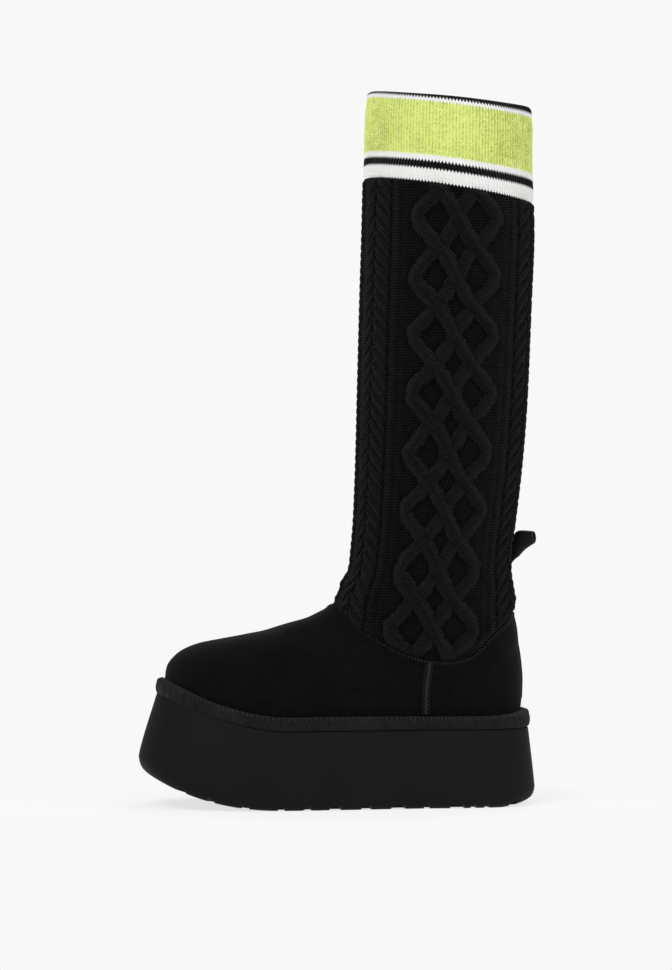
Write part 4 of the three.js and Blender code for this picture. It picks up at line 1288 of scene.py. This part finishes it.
class BOOT_OT_inside(bpy.types.Operator):
    """Gives the insole its pile"""

    bl_idname = "boot.inside"
    bl_label = "Inside"

    def execute(self, context):
        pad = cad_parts["insole"]
        pad.data.materials.clear()
        pad.data.materials.append(pile_finish("fleece", colours().fleece))
        return {"FINISHED"}


class BOOT_OT_stage(bpy.types.Operator):
    """Sets the floor, the lights and the camera"""

    bl_idname = "boot.stage"
    bl_label = "Studio"

    # Name, place in metres, size in metres, power in watts
    LIGHTS = [
        ("key", (1.2, 1.5, 2.2), 1.2, 34.0),
        ("fill", (-1.7, 1.4, 1.3), 1.6, 14.0),
        ("rim", (-0.6, -1.8, 2.0), 1.6, 14.0),
    ]
    # Brightness of the backdrop as seen, and of the room's own light
    PAPER = 0.94
    ROOM = 0.5
    # How much of the floor near the boot answers to the lamps, and how brightly they light it
    SHADOW = 0.24
    LIT = 0.9
    # Where the lamps point, and half the floor's width, in metres
    AIM = (0.06, 0.0, 0.22)
    FLOOR = 6.0
    # The shadow's middle along X in metres, how much shorter it is across,
    # and the squares of the distances where it starts to fade and where it ends
    MIDDLE = 0.1
    ACROSS = 3.0
    FADE = (0.01, 0.09)
    # Width of the camera's film in mm
    FILM = 36.0

    def execute(self, context):
        self.backdrop(context.scene)
        self.lamps()
        self.floor()
        self.camera(context.scene)
        context.scene.view_settings.view_transform = "Standard"
        return {"FINISHED"}

    def backdrop(self, scene):
        world = bpy.data.worlds.new("studio")
        world.use_nodes = True
        nodes, links = world.node_tree.nodes, world.node_tree.links
        seen = nodes.new("ShaderNodeLightPath")
        level = nodes.new("ShaderNodeMapRange")
        links.new(seen.outputs["Is Camera Ray"], level.inputs[0])
        level.inputs[3].default_value = self.ROOM
        level.inputs[4].default_value = self.PAPER
        nodes["Background"].inputs[0].default_value = (1.0, 1.0, 1.0, 1.0)
        links.new(level.outputs[0], nodes["Background"].inputs[1])
        scene.world = world

    def lamps(self):
        for name, place, size, power in self.LIGHTS:
            lamp = bpy.data.lights.new(name, "AREA")
            lamp.size, lamp.energy = size, power
            made = add(name, lamp)
            made.location = place
            toward = Vector(self.AIM) - Vector(place)
            made.rotation_euler = toward.to_track_quat("-Z", "Y").to_euler()

    def floor(self):
        """Mostly lit by itself, so that the boot leaves only a faint shadow on it."""
        mesh = bpy.data.meshes.new("floor")
        corners = [(x * self.FLOOR, y * self.FLOOR, 0) for x, y in ((-1, -1), (1, -1), (1, 1), (-1, 1))]
        mesh.from_pydata(corners, [], [(0, 1, 2, 3)])
        paper = Finish("paper", roughness=1.0, specular_ior_level=0.0)
        paper.shader.inputs["Emission Strength"].default_value = 1.0
        x, y = paper.split(paper.place())
        along = x - self.MIDDLE
        near = 1.0 - (along * along + y * y * self.ACROSS).ramp(*self.FADE)
        own = self.PAPER - self.SHADOW * self.LIT
        mesh.materials.append(paper.feed(
            base_color=paper.mix(near, colour([0.0] * 3), colour([self.SHADOW] * 3)),
            emission_color=paper.mix(near, colour([self.PAPER] * 3), colour([own] * 3)),
        ))
        add("floor", mesh)

    def camera(self, scene):
        stage = scene.boot_stage
        camera = bpy.data.cameras.new("camera")
        camera.lens, camera.sensor_width = stage.lens, self.FILM
        made = add("camera", camera)
        turn = math.radians(stage.turn)
        away = Vector((math.sin(turn), -math.cos(turn), 0.0))
        made.location = Vector(stage.centre) + away * stage.distance
        made.rotation_euler = (-away).to_track_quat("-Z", "Y").to_euler()
        scene.camera = made


class BOOT_PT_panel(bpy.types.Panel):
    """Lists the boot's sizes, colours and pieces"""

    bl_label = "Sweater boot"
    bl_idname = "BOOT_PT_panel"
    bl_space_type = "VIEW_3D"
    bl_region_type = "UI"
    bl_category = "Boot"

    def draw(self, context):
        scene = context.scene
        for group in (scene.boot_sizes, scene.boot_colours, scene.boot_stage):
            box = self.layout.box()
            for name in group.__annotations__:
                box.prop(group, name)
        for operator in OPERATORS:
            self.layout.operator(operator.bl_idname)


OPERATORS = (
    BOOT_OT_sole, BOOT_OT_band, BOOT_OT_suede, BOOT_OT_straps, BOOT_OT_knit,
    BOOT_OT_cuff, BOOT_OT_ribbon, BOOT_OT_inside, BOOT_OT_stage,
)
CLASSES = (BootSizes, BootColours, BootStage) + OPERATORS + (BOOT_PT_panel,)


def register():
    for cls in CLASSES:
        bpy.utils.register_class(cls)
    bpy.types.Scene.boot_sizes = bpy.props.PointerProperty(type=BootSizes)
    bpy.types.Scene.boot_colours = bpy.props.PointerProperty(type=BootColours)
    bpy.types.Scene.boot_stage = bpy.props.PointerProperty(type=BootStage)


def unregister():
    del bpy.types.Scene.boot_stage
    del bpy.types.Scene.boot_colours
    del bpy.types.Scene.boot_sizes
    for cls in reversed(CLASSES):
        bpy.utils.unregister_class(cls)


def main():
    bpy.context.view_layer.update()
    register()
    bpy.ops.boot.sole()
    bpy.ops.boot.band()
    bpy.ops.boot.suede()
    bpy.ops.boot.straps()
    bpy.ops.boot.knit()
    bpy.ops.boot.cuff()
    bpy.ops.boot.ribbon()
    bpy.ops.boot.inside()
    bpy.ops.boot.stage()


if __name__ == "__main__":
    main()
